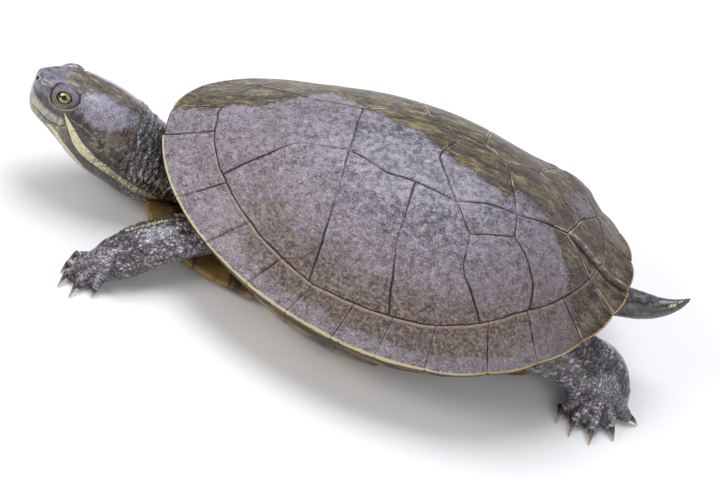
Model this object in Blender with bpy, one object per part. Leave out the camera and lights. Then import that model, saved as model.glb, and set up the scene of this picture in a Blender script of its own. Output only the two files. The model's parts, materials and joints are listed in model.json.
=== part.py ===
"""Slider turtle, a still life-size museum model, built as closed solids in metres, +Z up.

The animal faces -X and its left side is towards -Y.  Shell shapes are worked out in fractions
of the straight shell length, in a shell frame: x runs tailwards from the middle of the shell,
y to the animal's left and z up from the rim at the bridge.  The origin of the finished model is
the middle of its bounding box, on the floor.
"""
import math

import bmesh
import bpy
import numpy as np
from mathutils import Vector

# ---------------------------------------------------------------- driving dimensions
SHELL_LENGTH = 0.250          # straight, nuchal edge to the notch over the tail
SHELL_WIDTH = 0.744           # fractions of the shell length from here on
EGG = 0.063                   # how much wider the shell is behind than in front
DOME_HEIGHT = 0.228           # crown of the shell above the rim at the bridge
DOME_POWER = 2.375
DOME_FLARE = 1.176
CROWN_X = 0.092               # where the shell is highest
FRONT_RIM_RISE = 0.039
REAR_RIM_RISE = 0.106
FRONT_RISE_POWER = 3.4
REAR_RISE_POWER = 2.7
SWELLING = (0.34, -0.235, 0.075, 0.030)   # x, y, radius and height of the boss on the right
FLOOR_LEVEL = -0.140
SOLE_LEVEL = -0.1346          # the soles are cut flat here, and it becomes the model's floor
PLASTRON_BOTTOM = -0.121
PLASTRON_TOP = -0.101
MARGIN_SHARES = (0.838, 0.842, 0.868, 0.838, 0.788, 0.812)   # way out to the marginal plates
GAP = 0.0014                  # 0.35 mm between neighbours
PLATE = 0.011                 # thickness of the horny plates
LIP_FREE = 0.014
LIP_BRIDGE = 0.026
RIM_STEPS = 3
MARGINAL_SHARES = (1.42, 1.07, 1.08, 0.88, 0.94, 0.84, 0.93, 1.15, 0.94, 0.95, 0.88, 0.74)
NUCHAL_LEFT = 0.060           # rim length from the midline to the nuchal plate's two sides
NUCHAL_RIGHT = 0.034
TAIL_SEAM_Y = 0.014
REAR_SCALLOP = 0.010

# Where the plates along the back end, and how far each border stands from the midline.
V1_FRONT_LEFT = (-0.337, 0.145)
V1_FRONT_RIGHT = (-0.345, -0.135)
V1_WAIST_LEFT = (-0.236, 0.067)
V1_WAIST_RIGHT = (-0.240, -0.080)
V12_LEFT = (-0.137, 0.062)
V12_RIGHT = (-0.139, -0.074)
V2_ANGLE_LEFT = (-0.048, 0.091)
V2_LEFT_MID = (0.010, 0.092)
V2_ANGLE_RIGHT = (-0.012, -0.132)
V23_LEFT = (0.098, 0.099)
V23_MIDDLE = (0.034, 0.006)
V23_RIGHT = (0.064, -0.078)
V3_ANGLE_RIGHT = (0.116, -0.094)
V3_LEFT_MID = (0.160, 0.070)
V34_LEFT = (0.223, 0.060)
V34_MIDDLE = (0.190, -0.010)
V34_RIGHT = (0.171, -0.068)
V4_LEFT_MID = (0.274, 0.040)
V4_ANGLE_RIGHT = (0.241, -0.107)
V45_LEFT = (0.335, 0.022)
V45_RIGHT = (0.350, -0.030)
EXTRA_REAR = (0.234, 0.108)   # outer corners of the small extra plate on the left
EXTRA_FRONT = (0.148, 0.149)

TRUNK_RAYS = 44
PLASTRON_FRONT_SEAM = -0.235
PLASTRON_REAR_SEAM = 0.165
FRONT_LOBE = (-0.481, 0.246, 0.52, 0.12)   # tip, half width at the seam, bluntness, upward tilt
REAR_LOBE = (0.420, 0.178, 0.42, 0.0)

# Head stations: distance ahead of the head's base, level of the middle, half width, up, down, power.
HEAD_BASE = (-0.577, 0.073)
HEAD_YAW = 8.0
HEAD_STATIONS = (
    (0.000, -0.004, 0.091, 0.088, 0.092, 2.2),
    (0.034, 0.008, 0.090, 0.087, 0.092, 2.3),
    (0.064, 0.019, 0.084, 0.083, 0.087, 2.4),
    (0.092, 0.032, 0.074, 0.076, 0.080, 2.6),
    (0.118, 0.043, 0.062, 0.070, 0.071, 2.8),
    (0.144, 0.051, 0.051, 0.061, 0.064, 2.7),
    (0.168, 0.056, 0.040, 0.051, 0.057, 2.5),
    (0.184, 0.060, 0.030, 0.041, 0.047, 2.4),
    (0.192, 0.062, 0.017, 0.028, 0.032, 2.2),
)
EYE_AHEAD = 0.126
EYE_LEVEL = 0.088
EYE_OUT = 0.041
EYE_RADIUS = 0.0185

# Neck stations from the shell to the head: middle x, y and z, half width, up, down.
NECK_STATIONS = (
    (-0.380, 0.030, -0.035, 0.082, 0.050, 0.060),
    (-0.440, 0.042, -0.038, 0.088, 0.042, 0.070),
    (-0.480, 0.052, -0.038, 0.092, 0.045, 0.078),
    (-0.503, 0.059, -0.033, 0.094, 0.060, 0.086),
    (-0.528, 0.064, -0.026, 0.094, 0.078, 0.090),
    (-0.552, 0.069, -0.015, 0.092, 0.086, 0.092),
    (-0.575, 0.0727, -0.0055, 0.091, 0.088, 0.092),
)
TAIL_STATIONS = (
    (0.380, 0.000, 0.010, 0.046),
    (0.450, -0.001, 0.040, 0.040),
    (0.495, -0.004, 0.050, 0.033),
    (0.535, -0.011, 0.053, 0.026),
    (0.572, -0.020, 0.058, 0.019),
    (0.600, -0.027, 0.071, 0.013),
    (0.618, -0.033, 0.086, 0.008),
    (0.630, -0.038, 0.101, 0.003),
)

# Legs: limb stations (middle, half width, half thickness), toes (end of the toe, end of its
# claw), and for each leg the way its back faces, the middle of the palm and a toe's half width.
FRONT_LEFT_LIMB = (
    ((-0.290, 0.138, -0.043), 0.050, 0.042),
    ((-0.335, 0.183, -0.047), 0.050, 0.036),
    ((-0.376, 0.217, -0.053), 0.050, 0.031),
    ((-0.425, 0.258, -0.065), 0.052, 0.031),
    ((-0.463, 0.298, -0.081), 0.053, 0.029),
    ((-0.496, 0.328, -0.100), 0.050, 0.022),
    ((-0.515, 0.344, -0.116), 0.044, 0.015),
)
FRONT_LEFT_TOES = (
    ((-0.553, 0.314, -0.121), (-0.565, 0.336, -0.132)),
    ((-0.560, 0.346, -0.123), (-0.567, 0.363, -0.132)),
    ((-0.554, 0.371, -0.124), (-0.560, 0.404, -0.132)),
    ((-0.527, 0.386, -0.124), (-0.531, 0.418, -0.132)),
    ((-0.491, 0.381, -0.124), (-0.489, 0.394, -0.130)),
)
FRONT_RIGHT_LIMB = (
    ((-0.285, -0.120, -0.040), 0.048, 0.040),
    ((-0.312, -0.172, -0.042), 0.048, 0.037),
    ((-0.324, -0.216, -0.046), 0.048, 0.034),
    ((-0.328, -0.256, -0.058), 0.048, 0.030),
    ((-0.326, -0.286, -0.078), 0.048, 0.026),
    ((-0.324, -0.303, -0.101), 0.045, 0.021),
    ((-0.324, -0.314, -0.118), 0.036, 0.015),
)
FRONT_RIGHT_TOES = (
    ((-0.364, -0.316, -0.124), (-0.388, -0.324, -0.132)),
    ((-0.354, -0.340, -0.124), (-0.372, -0.360, -0.132)),
    ((-0.331, -0.350, -0.124), (-0.336, -0.378, -0.132)),
    ((-0.305, -0.346, -0.124), (-0.296, -0.370, -0.132)),
    ((-0.285, -0.328, -0.124), (-0.266, -0.340, -0.132)),
)
HIND_LEFT_LIMB = (
    ((0.290, 0.112, -0.030), 0.066, 0.062),
    ((0.365, 0.118, -0.030), 0.062, 0.056),
    ((0.427, 0.112, -0.040), 0.061, 0.046),
    ((0.474, 0.106, -0.050), 0.066, 0.046),
    ((0.513, 0.105, -0.074), 0.077, 0.043),
    ((0.534, 0.120, -0.102), 0.087, 0.032),
    ((0.540, 0.148, -0.118), 0.080, 0.019),
)
HIND_LEFT_TOES = (
    ((0.470, 0.180, -0.122), (0.471, 0.210, -0.132)),
    ((0.501, 0.199, -0.122), (0.503, 0.232, -0.132)),
    ((0.542, 0.202, -0.122), (0.548, 0.232, -0.132)),
    ((0.580, 0.172, -0.122), (0.594, 0.194, -0.132)),
    ((0.611, 0.125, -0.122), (0.634, 0.124, -0.132)),
)
HIND_RIGHT_LIMB = (
    ((0.290, -0.115, -0.030), 0.066, 0.062),
    ((0.345, -0.165, -0.030), 0.066, 0.056),
    ((0.385, -0.205, -0.040), 0.065, 0.050),
    ((0.412, -0.235, -0.060), 0.066, 0.045),
    ((0.428, -0.258, -0.085), 0.068, 0.038),
    ((0.436, -0.280, -0.106), 0.068, 0.029),
    ((0.440, -0.300, -0.119), 0.062, 0.018),
)
HIND_RIGHT_TOES = (
    ((0.382, -0.330, -0.122), (0.370, -0.352, -0.132)),
    ((0.412, -0.356, -0.122), (0.408, -0.386, -0.132)),
    ((0.449, -0.362, -0.122), (0.456, -0.392, -0.132)),
    ((0.484, -0.342, -0.122), (0.504, -0.364, -0.132)),
    ((0.506, -0.300, -0.122), (0.530, -0.306, -0.132)),
)
LEGS = {
    "leg_front_left": (FRONT_LEFT_LIMB, (-0.25, 0.35, 0.90), (-0.503, 0.336, -0.114),
                       FRONT_LEFT_TOES, 0.0135),
    "leg_front_right": (FRONT_RIGHT_LIMB, (-0.10, -0.40, 0.90), (-0.324, -0.302, -0.114),
                        FRONT_RIGHT_TOES, 0.0135),
    "leg_hind_left": (HIND_LEFT_LIMB, (0.25, 0.45, 0.85), (0.540, 0.122, -0.112),
                      HIND_LEFT_TOES, 0.0165),
    "leg_hind_right": (HIND_RIGHT_LIMB, (0.20, -0.45, 0.85), (0.438, -0.285, -0.112),
                       HIND_RIGHT_TOES, 0.0165),
}
WEB_REACH = 0.93              # how far along the toes their web goes


FINISHES = {
    "shell": ((0.115, 0.105, 0.110, 1.0), 0.32),
    "rim": ((0.150, 0.125, 0.095, 1.0), 0.38),
    "under_shell": ((0.300, 0.210, 0.090, 1.0), 0.50),
    "skin": ((0.075, 0.070, 0.072, 1.0), 0.55),
    "eye": ((0.160, 0.170, 0.030, 1.0), 0.08),
}


# ---------------------------------------------------------------- housekeeping
def clear_scene():
    """Empty the open file of its objects."""
    for obj in list(bpy.data.objects):
        bpy.data.objects.remove(obj, do_unlink=True)


def finish(name):
    """One Principled material for each named finish."""
    known = bpy.data.materials.get(name)
    if known:
        return known
    colour, roughness = FINISHES[name]
    material = bpy.data.materials.new(name)
    material.use_nodes = True
    shader = material.node_tree.nodes["Principled BSDF"]
    shader.inputs["Base Color"].default_value = colour
    shader.inputs["Roughness"].default_value = roughness
    shader.inputs["Metallic"].default_value = 0.0
    return material


def world(x, y, z):
    """Shell frame fractions to metres in the model's frame, before it is centred."""
    return Vector((x * SHELL_LENGTH, -y * SHELL_LENGTH, (z - FLOOR_LEVEL) * SHELL_LENGTH))


def make_object(name, vertices, faces, look, smooth=40.0):
    """A closed mesh object from shell frame points."""
    mesh = bpy.data.meshes.new(name)
    mesh.from_pydata([world(*v) for v in vertices], [], faces)
    work = bmesh.new()
    work.from_mesh(mesh)
    bmesh.ops.remove_doubles(work, verts=work.verts, dist=1e-6)
    bmesh.ops.recalc_face_normals(work, faces=work.faces)
    work.to_mesh(mesh)
    work.free()
    mesh.shade_smooth()
    mesh.set_sharp_from_angle(angle=math.radians(smooth))
    obj = bpy.data.objects.new(name, mesh)
    bpy.context.scene.collection.objects.link(obj)
    mesh.materials.append(finish(look))
    return obj


# ---------------------------------------------------------------- the shell's surface
def rim_half_width(x):
    """Half the shell's width at station x."""
    return 0.5 * SHELL_WIDTH * math.sqrt(max(0.0, 1.0 - 4.0 * x * x)) * (1.0 + 2.0 * EGG * x)


def rim_height(x):
    """Height of the rim at station x: it rises to the nuchal plate and over the tail."""
    if x < 0.0:
        return FRONT_RIM_RISE * (-2.0 * x) ** FRONT_RISE_POWER
    return REAR_RIM_RISE * (2.0 * x) ** REAR_RISE_POWER


def girth(x, y):
    """How far out (x, y) lies between the crown, 0, and the rim, 1, and the rim station there."""
    low, high = 1e-4, 1.6
    for _ in range(44):
        share = 0.5 * (low + high)
        station = CROWN_X + (x - CROWN_X) / share
        outside = abs(station) >= 0.5 or abs(y) / share > rim_half_width(station)
        if outside:
            low = share
        else:
            high = share
    share = 0.5 * (low + high)
    station = min(0.5, max(-0.5, CROWN_X + (x - CROWN_X) / share))
    return share, station


def dome(x, y):
    """Height of the shell's outer surface."""
    share, station = girth(x, y)
    share = min(share, 1.0)
    rise = (1.0 - share ** DOME_POWER) ** DOME_FLARE
    height = rim_height(station) * (1.0 - rise) + DOME_HEIGHT * rise
    cx, cy, radius, boss = SWELLING
    distance = math.hypot(x - cx, y - cy) / radius
    return height + boss * math.exp(-distance * distance) * min(1.0, (1.0 - share) * 9.0)


def rim_table(count=400):
    """Points along one half of the rim, front to rear, with their distance run."""
    stations = [-0.5 * math.cos(math.pi * i / count) for i in range(count + 1)]
    points = [(x, rim_half_width(x)) for x in stations]
    run = [0.0]
    for a, b in zip(points, points[1:]):
        run.append(run[-1] + math.dist(a, b))
    return points, run


RIM_POINTS, RIM_RUN = rim_table()
RIM_TOTAL = RIM_RUN[-1]


def rim_point(run, side):
    """Plan point on the rim after a run from the front midline, side +1 left or -1 right."""
    x = float(np.interp(run, RIM_RUN, [p[0] for p in RIM_POINTS]))
    y = float(np.interp(run, RIM_RUN, [p[1] for p in RIM_POINTS]))
    return x, side * y


def inward(run, side, share):
    """Plan point on the ray from the crown to the rim, at a share of the way out."""
    x, y = rim_point(run, side)
    return CROWN_X + (x - CROWN_X) * share, y * share


def margin_share(run):
    """Where the marginal plates start along this ray."""
    return float(np.interp(run / RIM_TOTAL, (0.0, 0.2, 0.4, 0.6, 0.76, 1.0), MARGIN_SHARES))


def margin_point(run, side):
    return inward(run, side, margin_share(run))


# ---------------------------------------------------------------- horny plates of the back
def along(points, pieces):
    """Split a polyline into equal runs, with a sample on every corner it has."""
    run = [0.0]
    for a, b in zip(points, points[1:]):
        run.append(run[-1] + math.dist(a, b))
    samples = [run[-1] * i / pieces for i in range(pieces + 1)]
    if len(points) <= pieces:
        for corner in run[1:-1]:
            near = min(range(1, pieces), key=lambda i: abs(samples[i] - corner))
            samples[near] = corner
    xs = [p[0] for p in points]
    ys = [p[1] for p in points]
    return [(float(np.interp(s, run, xs)), float(np.interp(s, run, ys))) for s in samples]


def margin_arc(run_a, run_b, side, pieces=16):
    """The seam between marginal and costal plates, from one run to another."""
    return [margin_point(run_a + (run_b - run_a) * i / pieces, side) for i in range(pieces + 1)]


def pull_in(grid):
    """Move a grid's border inwards by half a gap, in plan."""
    rows, columns = len(grid), len(grid[0])
    loop = [(0, j) for j in range(columns)]
    loop += [(i, columns - 1) for i in range(1, rows)]
    loop += [(rows - 1, j) for j in range(columns - 2, -1, -1)]
    loop += [(i, 0) for i in range(rows - 2, 0, -1)]
    ring = [Vector(grid[i][j]) for i, j in loop]
    area = sum(a.cross(b) for a, b in zip(ring, ring[1:] + ring[:1]))
    turn = 1.0 if area > 0 else -1.0
    moved = []
    for k, point in enumerate(ring):
        before = (point - ring[k - 1]).normalized()
        after = (ring[(k + 1) % len(ring)] - point).normalized()
        normal_a = Vector((-before.y, before.x)) * turn
        normal_b = Vector((-after.y, after.x)) * turn
        middle = (normal_a + normal_b).normalized()
        reach = 0.5 * GAP / max(0.4, middle.dot(normal_a))
        moved.append(point + middle * reach)
    for (i, j), point in zip(loop, moved):
        grid[i][j] = (point.x, point.y)
    return grid


def plate(name, front, rear, inner, outer, rows=4, columns=4):
    """A horny plate between four plan borders, filled as a Coons patch and given thickness.

    front and rear run from the inner border to the outer one, inner and outer run tailwards.
    """
    a = along(front, rows)
    b = along(rear, rows)
    c = along(inner, columns)
    d = along(outer, columns)
    grid = []
    for i in range(rows + 1):
        line = []
        u = i / rows
        for j in range(columns + 1):
            v = j / columns
            point = []
            for k in range(2):
                ruled = (1 - v) * a[i][k] + v * b[i][k] + (1 - u) * c[j][k] + u * d[j][k]
                corner = (1 - u) * (1 - v) * c[0][k] + (1 - u) * v * c[-1][k]
                corner += u * (1 - v) * d[0][k] + u * v * d[-1][k]
                point.append(ruled - corner)
            line.append(tuple(point))
        grid.append(line)
    grid = pull_in(grid)
    top = [(x, y, dome(x, y)) for line in grid for x, y in line]
    bottom = [(x, y, z - PLATE) for x, y, z in top]
    wide = columns + 1
    count = len(top)
    faces = []
    for i in range(rows):
        for j in range(columns):
            p = i * wide + j
            faces.append((p, p + 1, p + wide + 1, p + wide))
            faces.append(tuple(count + q for q in (p, p + wide, p + wide + 1, p + 1)))
    border = list(range(wide))
    border += [i * wide + columns for i in range(1, rows + 1)]
    border += [rows * wide + j for j in range(columns - 1, -1, -1)]
    border += [i * wide for i in range(rows - 1, 0, -1)]
    for p, q in zip(border, border[1:] + border[:1]):
        faces.append((p, q, count + q, count + p))
    return make_object(name, top + bottom, faces, "shell")


def seam_runs(side):
    """Rim runs of the seams between marginal plates on one side, nuchal edge first."""
    first = NUCHAL_LEFT if side > 0 else NUCHAL_RIGHT
    last = RIM_TOTAL - TAIL_SEAM_Y * side
    scale = (last - first) / sum(MARGINAL_SHARES)
    runs = [first]
    for share in MARGINAL_SHARES:
        runs.append(runs[-1] + share * scale)
    return runs


def run_at(point, side):
    """The rim run whose ray passes through a plan point."""
    _, station = girth(*point)
    return float(np.interp(station, [p[0] for p in RIM_POINTS], RIM_RUN))


def build_back_plates():
    """Nuchal, vertebral, costal and the one extra plate."""
    left, right = 1, -1
    n_left, n_right = margin_point(NUCHAL_LEFT, left), margin_point(NUCHAL_RIGHT, right)
    nose_l = inward(NUCHAL_LEFT, left, 0.995)
    nose_r = inward(NUCHAL_RIGHT, right, 0.995)
    nose = inward(0.0, left, 0.995)
    middle = margin_point(0.0, left)
    plate("nuchal", [nose_r, n_right], [nose_l, n_left],
          [nose_r, nose, nose_l], [n_right, middle, n_left], 3, 4)

    run_v1l, run_v1r = run_at(V1_FRONT_LEFT, left), run_at(V1_FRONT_RIGHT, right)
    v1_l, v1_r = margin_point(run_v1l, left), margin_point(run_v1r, right)
    front = margin_arc(run_v1r, 0.0, right)[:-1] + margin_arc(0.0, run_v1l, left)
    plate("vertebral_1", front, [V12_RIGHT, V12_LEFT],
          [v1_r, V1_WAIST_RIGHT, V12_RIGHT], [v1_l, V1_WAIST_LEFT, V12_LEFT], 6, 5)
    plate("vertebral_2", [V12_RIGHT, V12_LEFT], [V23_RIGHT, V23_MIDDLE, V23_LEFT],
          [V12_RIGHT, V2_ANGLE_RIGHT, V23_RIGHT],
          [V12_LEFT, V2_ANGLE_LEFT, V2_LEFT_MID, V23_LEFT], 4, 5)
    plate("vertebral_3", [V23_RIGHT, V23_MIDDLE, V23_LEFT], [V34_RIGHT, V34_MIDDLE, V34_LEFT],
          [V23_RIGHT, V3_ANGLE_RIGHT, V34_RIGHT], [V23_LEFT, V3_LEFT_MID, V34_LEFT], 4, 4)
    plate("vertebral_4", [V34_RIGHT, V34_MIDDLE, V34_LEFT], [V45_RIGHT, V45_LEFT],
          [V34_RIGHT, V4_ANGLE_RIGHT, V45_RIGHT], [V34_LEFT, V4_LEFT_MID, V45_LEFT], 4, 4)
    runs_l, runs_r = seam_runs(left), seam_runs(right)
    tail_l = runs_l[11]
    tail_r = runs_r[10] + 0.02
    v5_l, v5_r = margin_point(tail_l, left), margin_point(tail_r, right)
    end = RIM_TOTAL
    rear = margin_arc(tail_r, end, right)[:-1] + margin_arc(end, tail_l, left)
    plate("vertebral_5", [V45_RIGHT, V45_LEFT], rear, [V45_RIGHT, v5_r], [V45_LEFT, v5_l], 5, 4)
    plate("extra_left", [V23_LEFT, EXTRA_FRONT], [V34_LEFT, EXTRA_REAR],
          [V23_LEFT, V3_LEFT_MID, V34_LEFT], [EXTRA_FRONT, EXTRA_REAR], 3, 4)

    # Left costals: five of them, an extra one behind.
    low = [run_v1l, runs_l[4] - 0.012, runs_l[6] - 0.012, runs_l[8] - 0.022,
           runs_l[9] + 0.005, tail_l]
    foot = [margin_point(run, left) for run in low]
    sides = [
        [v1_l, v1_l],
        [V12_LEFT, (-0.126, 0.150), foot[1]],
        [V2_LEFT_MID, (0.016, 0.208), foot[2]],
        [EXTRA_FRONT, (0.158, 0.205), foot[3]],
        [EXTRA_REAR, (0.276, 0.130), (0.308, 0.165), foot[4]],
        [V45_LEFT, v5_l],
    ]
    plate("costal_left_1", [V12_LEFT, V1_WAIST_LEFT, v1_l], [sides[1][1], foot[1]],
          [V12_LEFT, sides[1][1]], margin_arc(low[0], low[1], left), 4, 4)
    plate("costal_left_2", sides[1], sides[2], [V12_LEFT, V2_ANGLE_LEFT, V2_LEFT_MID],
          margin_arc(low[1], low[2], left), 5, 4)
    plate("costal_left_3", sides[2], sides[3], [V2_LEFT_MID, V23_LEFT, EXTRA_FRONT],
          margin_arc(low[2], low[3], left), 5, 4)
    plate("costal_left_4", sides[3], sides[4], [EXTRA_FRONT, EXTRA_REAR],
          margin_arc(low[3], low[4], left), 4, 4)
    plate("costal_left_5", sides[4], [V45_LEFT, v5_l], [EXTRA_REAR, V34_LEFT, V4_LEFT_MID, V45_LEFT],
          margin_arc(low[4], low[5], left), 4, 5)

    # Right costals: the usual four.
    low = [run_v1r, runs_r[5] - 0.03, runs_r[7] - 0.03, runs_r[9] - 0.05, tail_r]
    foot = [margin_point(run, right) for run in low]
    sides = [
        [V2_ANGLE_RIGHT, (-0.030, -0.220), foot[1]],
        [V3_ANGLE_RIGHT, (0.122, -0.190), foot[2]],
        [V4_ANGLE_RIGHT, (0.262, -0.165), foot[3]],
    ]
    plate("costal_right_1", [V12_RIGHT, V1_WAIST_RIGHT, v1_r], sides[0],
          [V12_RIGHT, V2_ANGLE_RIGHT], margin_arc(low[0], low[1], right), 5, 4)
    plate("costal_right_2", sides[0], sides[1], [V2_ANGLE_RIGHT, V23_RIGHT, V3_ANGLE_RIGHT],
          margin_arc(low[1], low[2], right), 5, 4)
    plate("costal_right_3", sides[1], sides[2], [V3_ANGLE_RIGHT, V34_RIGHT, V4_ANGLE_RIGHT],
          margin_arc(low[2], low[3], right), 4, 4)
    plate("costal_right_4", sides[2], [V45_RIGHT, v5_r], [V4_ANGLE_RIGHT, V45_RIGHT],
          margin_arc(low[3], low[4], right), 4, 4)


# ---------------------------------------------------------------- marginal plates
def lip_depth(x):
    """How deep the rim's outer lip is: deepest at the bridge between the legs."""
    bridge = math.exp(-((x + 0.02) / 0.20) ** 4)
    return LIP_FREE + (LIP_BRIDGE - LIP_FREE) * bridge


def under_lip(run, side, share, drop=0.0):
    """Height of the marginal plates' underside at a share of the way out."""
    x_in, y_in = margin_point(run, side)
    x_rim, _ = rim_point(run, side)
    deep = dome(x_in, y_in) - PLATE
    edge = rim_height(x_rim) - lip_depth(x_rim)
    start = margin_share(run)
    blend = (share - start) / (0.985 - start)
    return deep + (edge - deep) * blend - drop


def marginal_section(run, side, flare):
    """The closed outline of the marginal ring, cut along one ray."""
    start = margin_share(run) + 0.5 * GAP / 0.4
    x_rim, y_rim = inward(run, side, 1.0 + flare)
    edge = rim_height(x_rim) if abs(x_rim) <= 0.5 else rim_height(math.copysign(0.5, x_rim))
    points = []
    for share in (start, 0.5 * (start + 1.0)):
        x, y = inward(run, side, share)
        points.append((x, y, dome(x, y)))
    points.append((x_rim, y_rim, edge))
    x, y = inward(run, side, 0.985 + flare)
    points.append((x, y, edge - lip_depth(x)))
    x, y = inward(run, side, 0.5 * (start + 0.985))
    points.append((x, y, under_lip(run, side, 0.5 * (start + 0.985))))
    x, y = inward(run, side, start)
    points.append((x, y, under_lip(run, side, start)))
    return points


def build_marginals():
    """Twelve marginal plates a side."""
    for side, word in ((1, "left"), (-1, "right")):
        runs = seam_runs(side)
        for number in range(12):
            a, b = runs[number] + 0.5 * GAP, runs[number + 1] - 0.5 * GAP
            sections = []
            for k in range(RIM_STEPS + 1):
                t = k / RIM_STEPS
                bulge = REAR_SCALLOP * math.sin(math.pi * t) if number >= 7 else 0.0
                run = a + (b - a) * t
                over = run > RIM_TOTAL
                here = 2.0 * RIM_TOTAL - run if over else run
                sections.append(marginal_section(here, -side if over else side, bulge))
            size = len(sections[0])
            vertices = [p for section in sections for p in section]
            faces = []
            for k in range(RIM_STEPS):
                for i in range(size):
                    j = (i + 1) % size
                    faces.append((k * size + i, k * size + j, (k + 1) * size + j,
                                  (k + 1) * size + i))
            faces.append(tuple(range(size)))
            faces.append(tuple(RIM_STEPS * size + i for i in range(size)))
            make_object(f"marginal_{word}_{number + 1}", vertices, faces, "rim", 32.0)


# ---------------------------------------------------------------- trunk, plastron and bridges
def build_trunk(name="trunk", grow=0.0):
    """The body inside the shell, as rings round the crown, from the top down to the belly.

    A grown copy, for cutting what joins the body, stands off by grow metres all round.
    """
    slack = 0.004
    directions = []
    half = TRUNK_RAYS // 2
    for i in range(half + 1):
        directions.append((RIM_TOTAL * i / half, 1))
    for i in range(half - 1, 0, -1):
        directions.append((RIM_TOTAL * i / half, -1))
    rings = []
    for run, side in directions:
        x_rim, _ = rim_point(run, side)
        openness = min(1.0, abs(x_rim / 0.47) ** 4)
        ray = []
        start = margin_share(run) - 0.012
        for share in (0.32 * start, 0.62 * start, 0.84 * start, start):
            x, y = inward(run, side, share)
            ray.append((x, y, dome(x, y) - PLATE - slack))
        share = 0.90 - 0.035 * openness
        x, y = inward(run, side, share)
        brim = under_lip(run, side, share) - slack
        ray.append((x, y, brim))
        x, y = inward(run, side, share - 0.028 - 0.03 * openness)
        ray.append((x, y, brim - 0.030))
        x, y = inward(run, side, 0.765 - 0.05 * openness)
        ray.append((x, y, -0.060))
        x, y = inward(run, side, 0.66 + 0.02 * openness)
        ray.append((x, y, PLASTRON_TOP + slack))
        rings.append(ray)
    count = len(rings)
    depth = len(rings[0])
    vertices = [p for ray in rings for p in ray]
    crown = len(vertices)
    vertices.append((CROWN_X, 0.0, dome(CROWN_X, 1e-4) - PLATE - slack))
    belly = len(vertices)
    vertices.append((CROWN_X - 0.05, 0.0, PLASTRON_TOP + slack))
    faces = []
    for i in range(count):
        j = (i + 1) % count
        faces.append((crown, i * depth, j * depth))
        faces.append((belly, j * depth + depth - 1, i * depth + depth - 1))
        for k in range(depth - 1):
            faces.append((i * depth + k, i * depth + k + 1, j * depth + k + 1, j * depth + k))
    trunk = make_object(name, vertices, faces, "skin")
    work = bmesh.new()
    work.from_mesh(trunk.data)
    bmesh.ops.triangulate(work, faces=work.faces)
    work.to_mesh(trunk.data)
    work.free()
    if grow:
        normals = [v.normal.copy() for v in trunk.data.vertices]
        for vertex, normal in zip(trunk.data.vertices, normals):
            vertex.co += normal * grow
    return trunk


def slab(name, outline, top, bottom, taper, tilt=0.0):
    """A flat plate of the underside: an outline with a slightly smaller bottom."""
    cx = sum(p[0] for p in outline) / len(outline)

    def lift(x):
        return tilt * max(0.0, -0.30 - x)

    upper = [(x, y, top + lift(x)) for x, y in outline]
    edge = [(x, y, 0.5 * (top + bottom) + lift(x)) for x, y in outline]
    lower = [(cx + (x - cx) * taper, y * taper, bottom + lift(x)) for x, y in outline]
    count = len(outline)
    faces = []
    for level in (0, count):
        for i in range(count):
            j = (i + 1) % count
            faces.append((level + i, level + j, level + count + j, level + count + i))
    faces.append(tuple(range(count)))
    faces.append(tuple(2 * count + i for i in range(count)))
    return make_object(name, upper + edge + lower, faces, "under_shell")


def lobe_outline(seam, lobe, grow=0.0):
    """Plan outline of the front or rear lobe, from its seam to its blunt tip and back."""
    tip, width, blunt, _ = lobe
    tip += math.copysign(grow, tip)
    width += grow
    arc = []
    for i in range(11):
        t = i / 10
        x = seam + (tip - seam) * math.sin(0.5 * math.pi * t)
        y = width * ((1.0 - blunt) * math.cos(0.5 * math.pi * t) ** 0.8 + blunt * (1 - t ** 6))
        arc.append((x, max(y, 0.0)))
    return arc + [(x, -y) for x, y in reversed(arc[:-1])]


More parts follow.
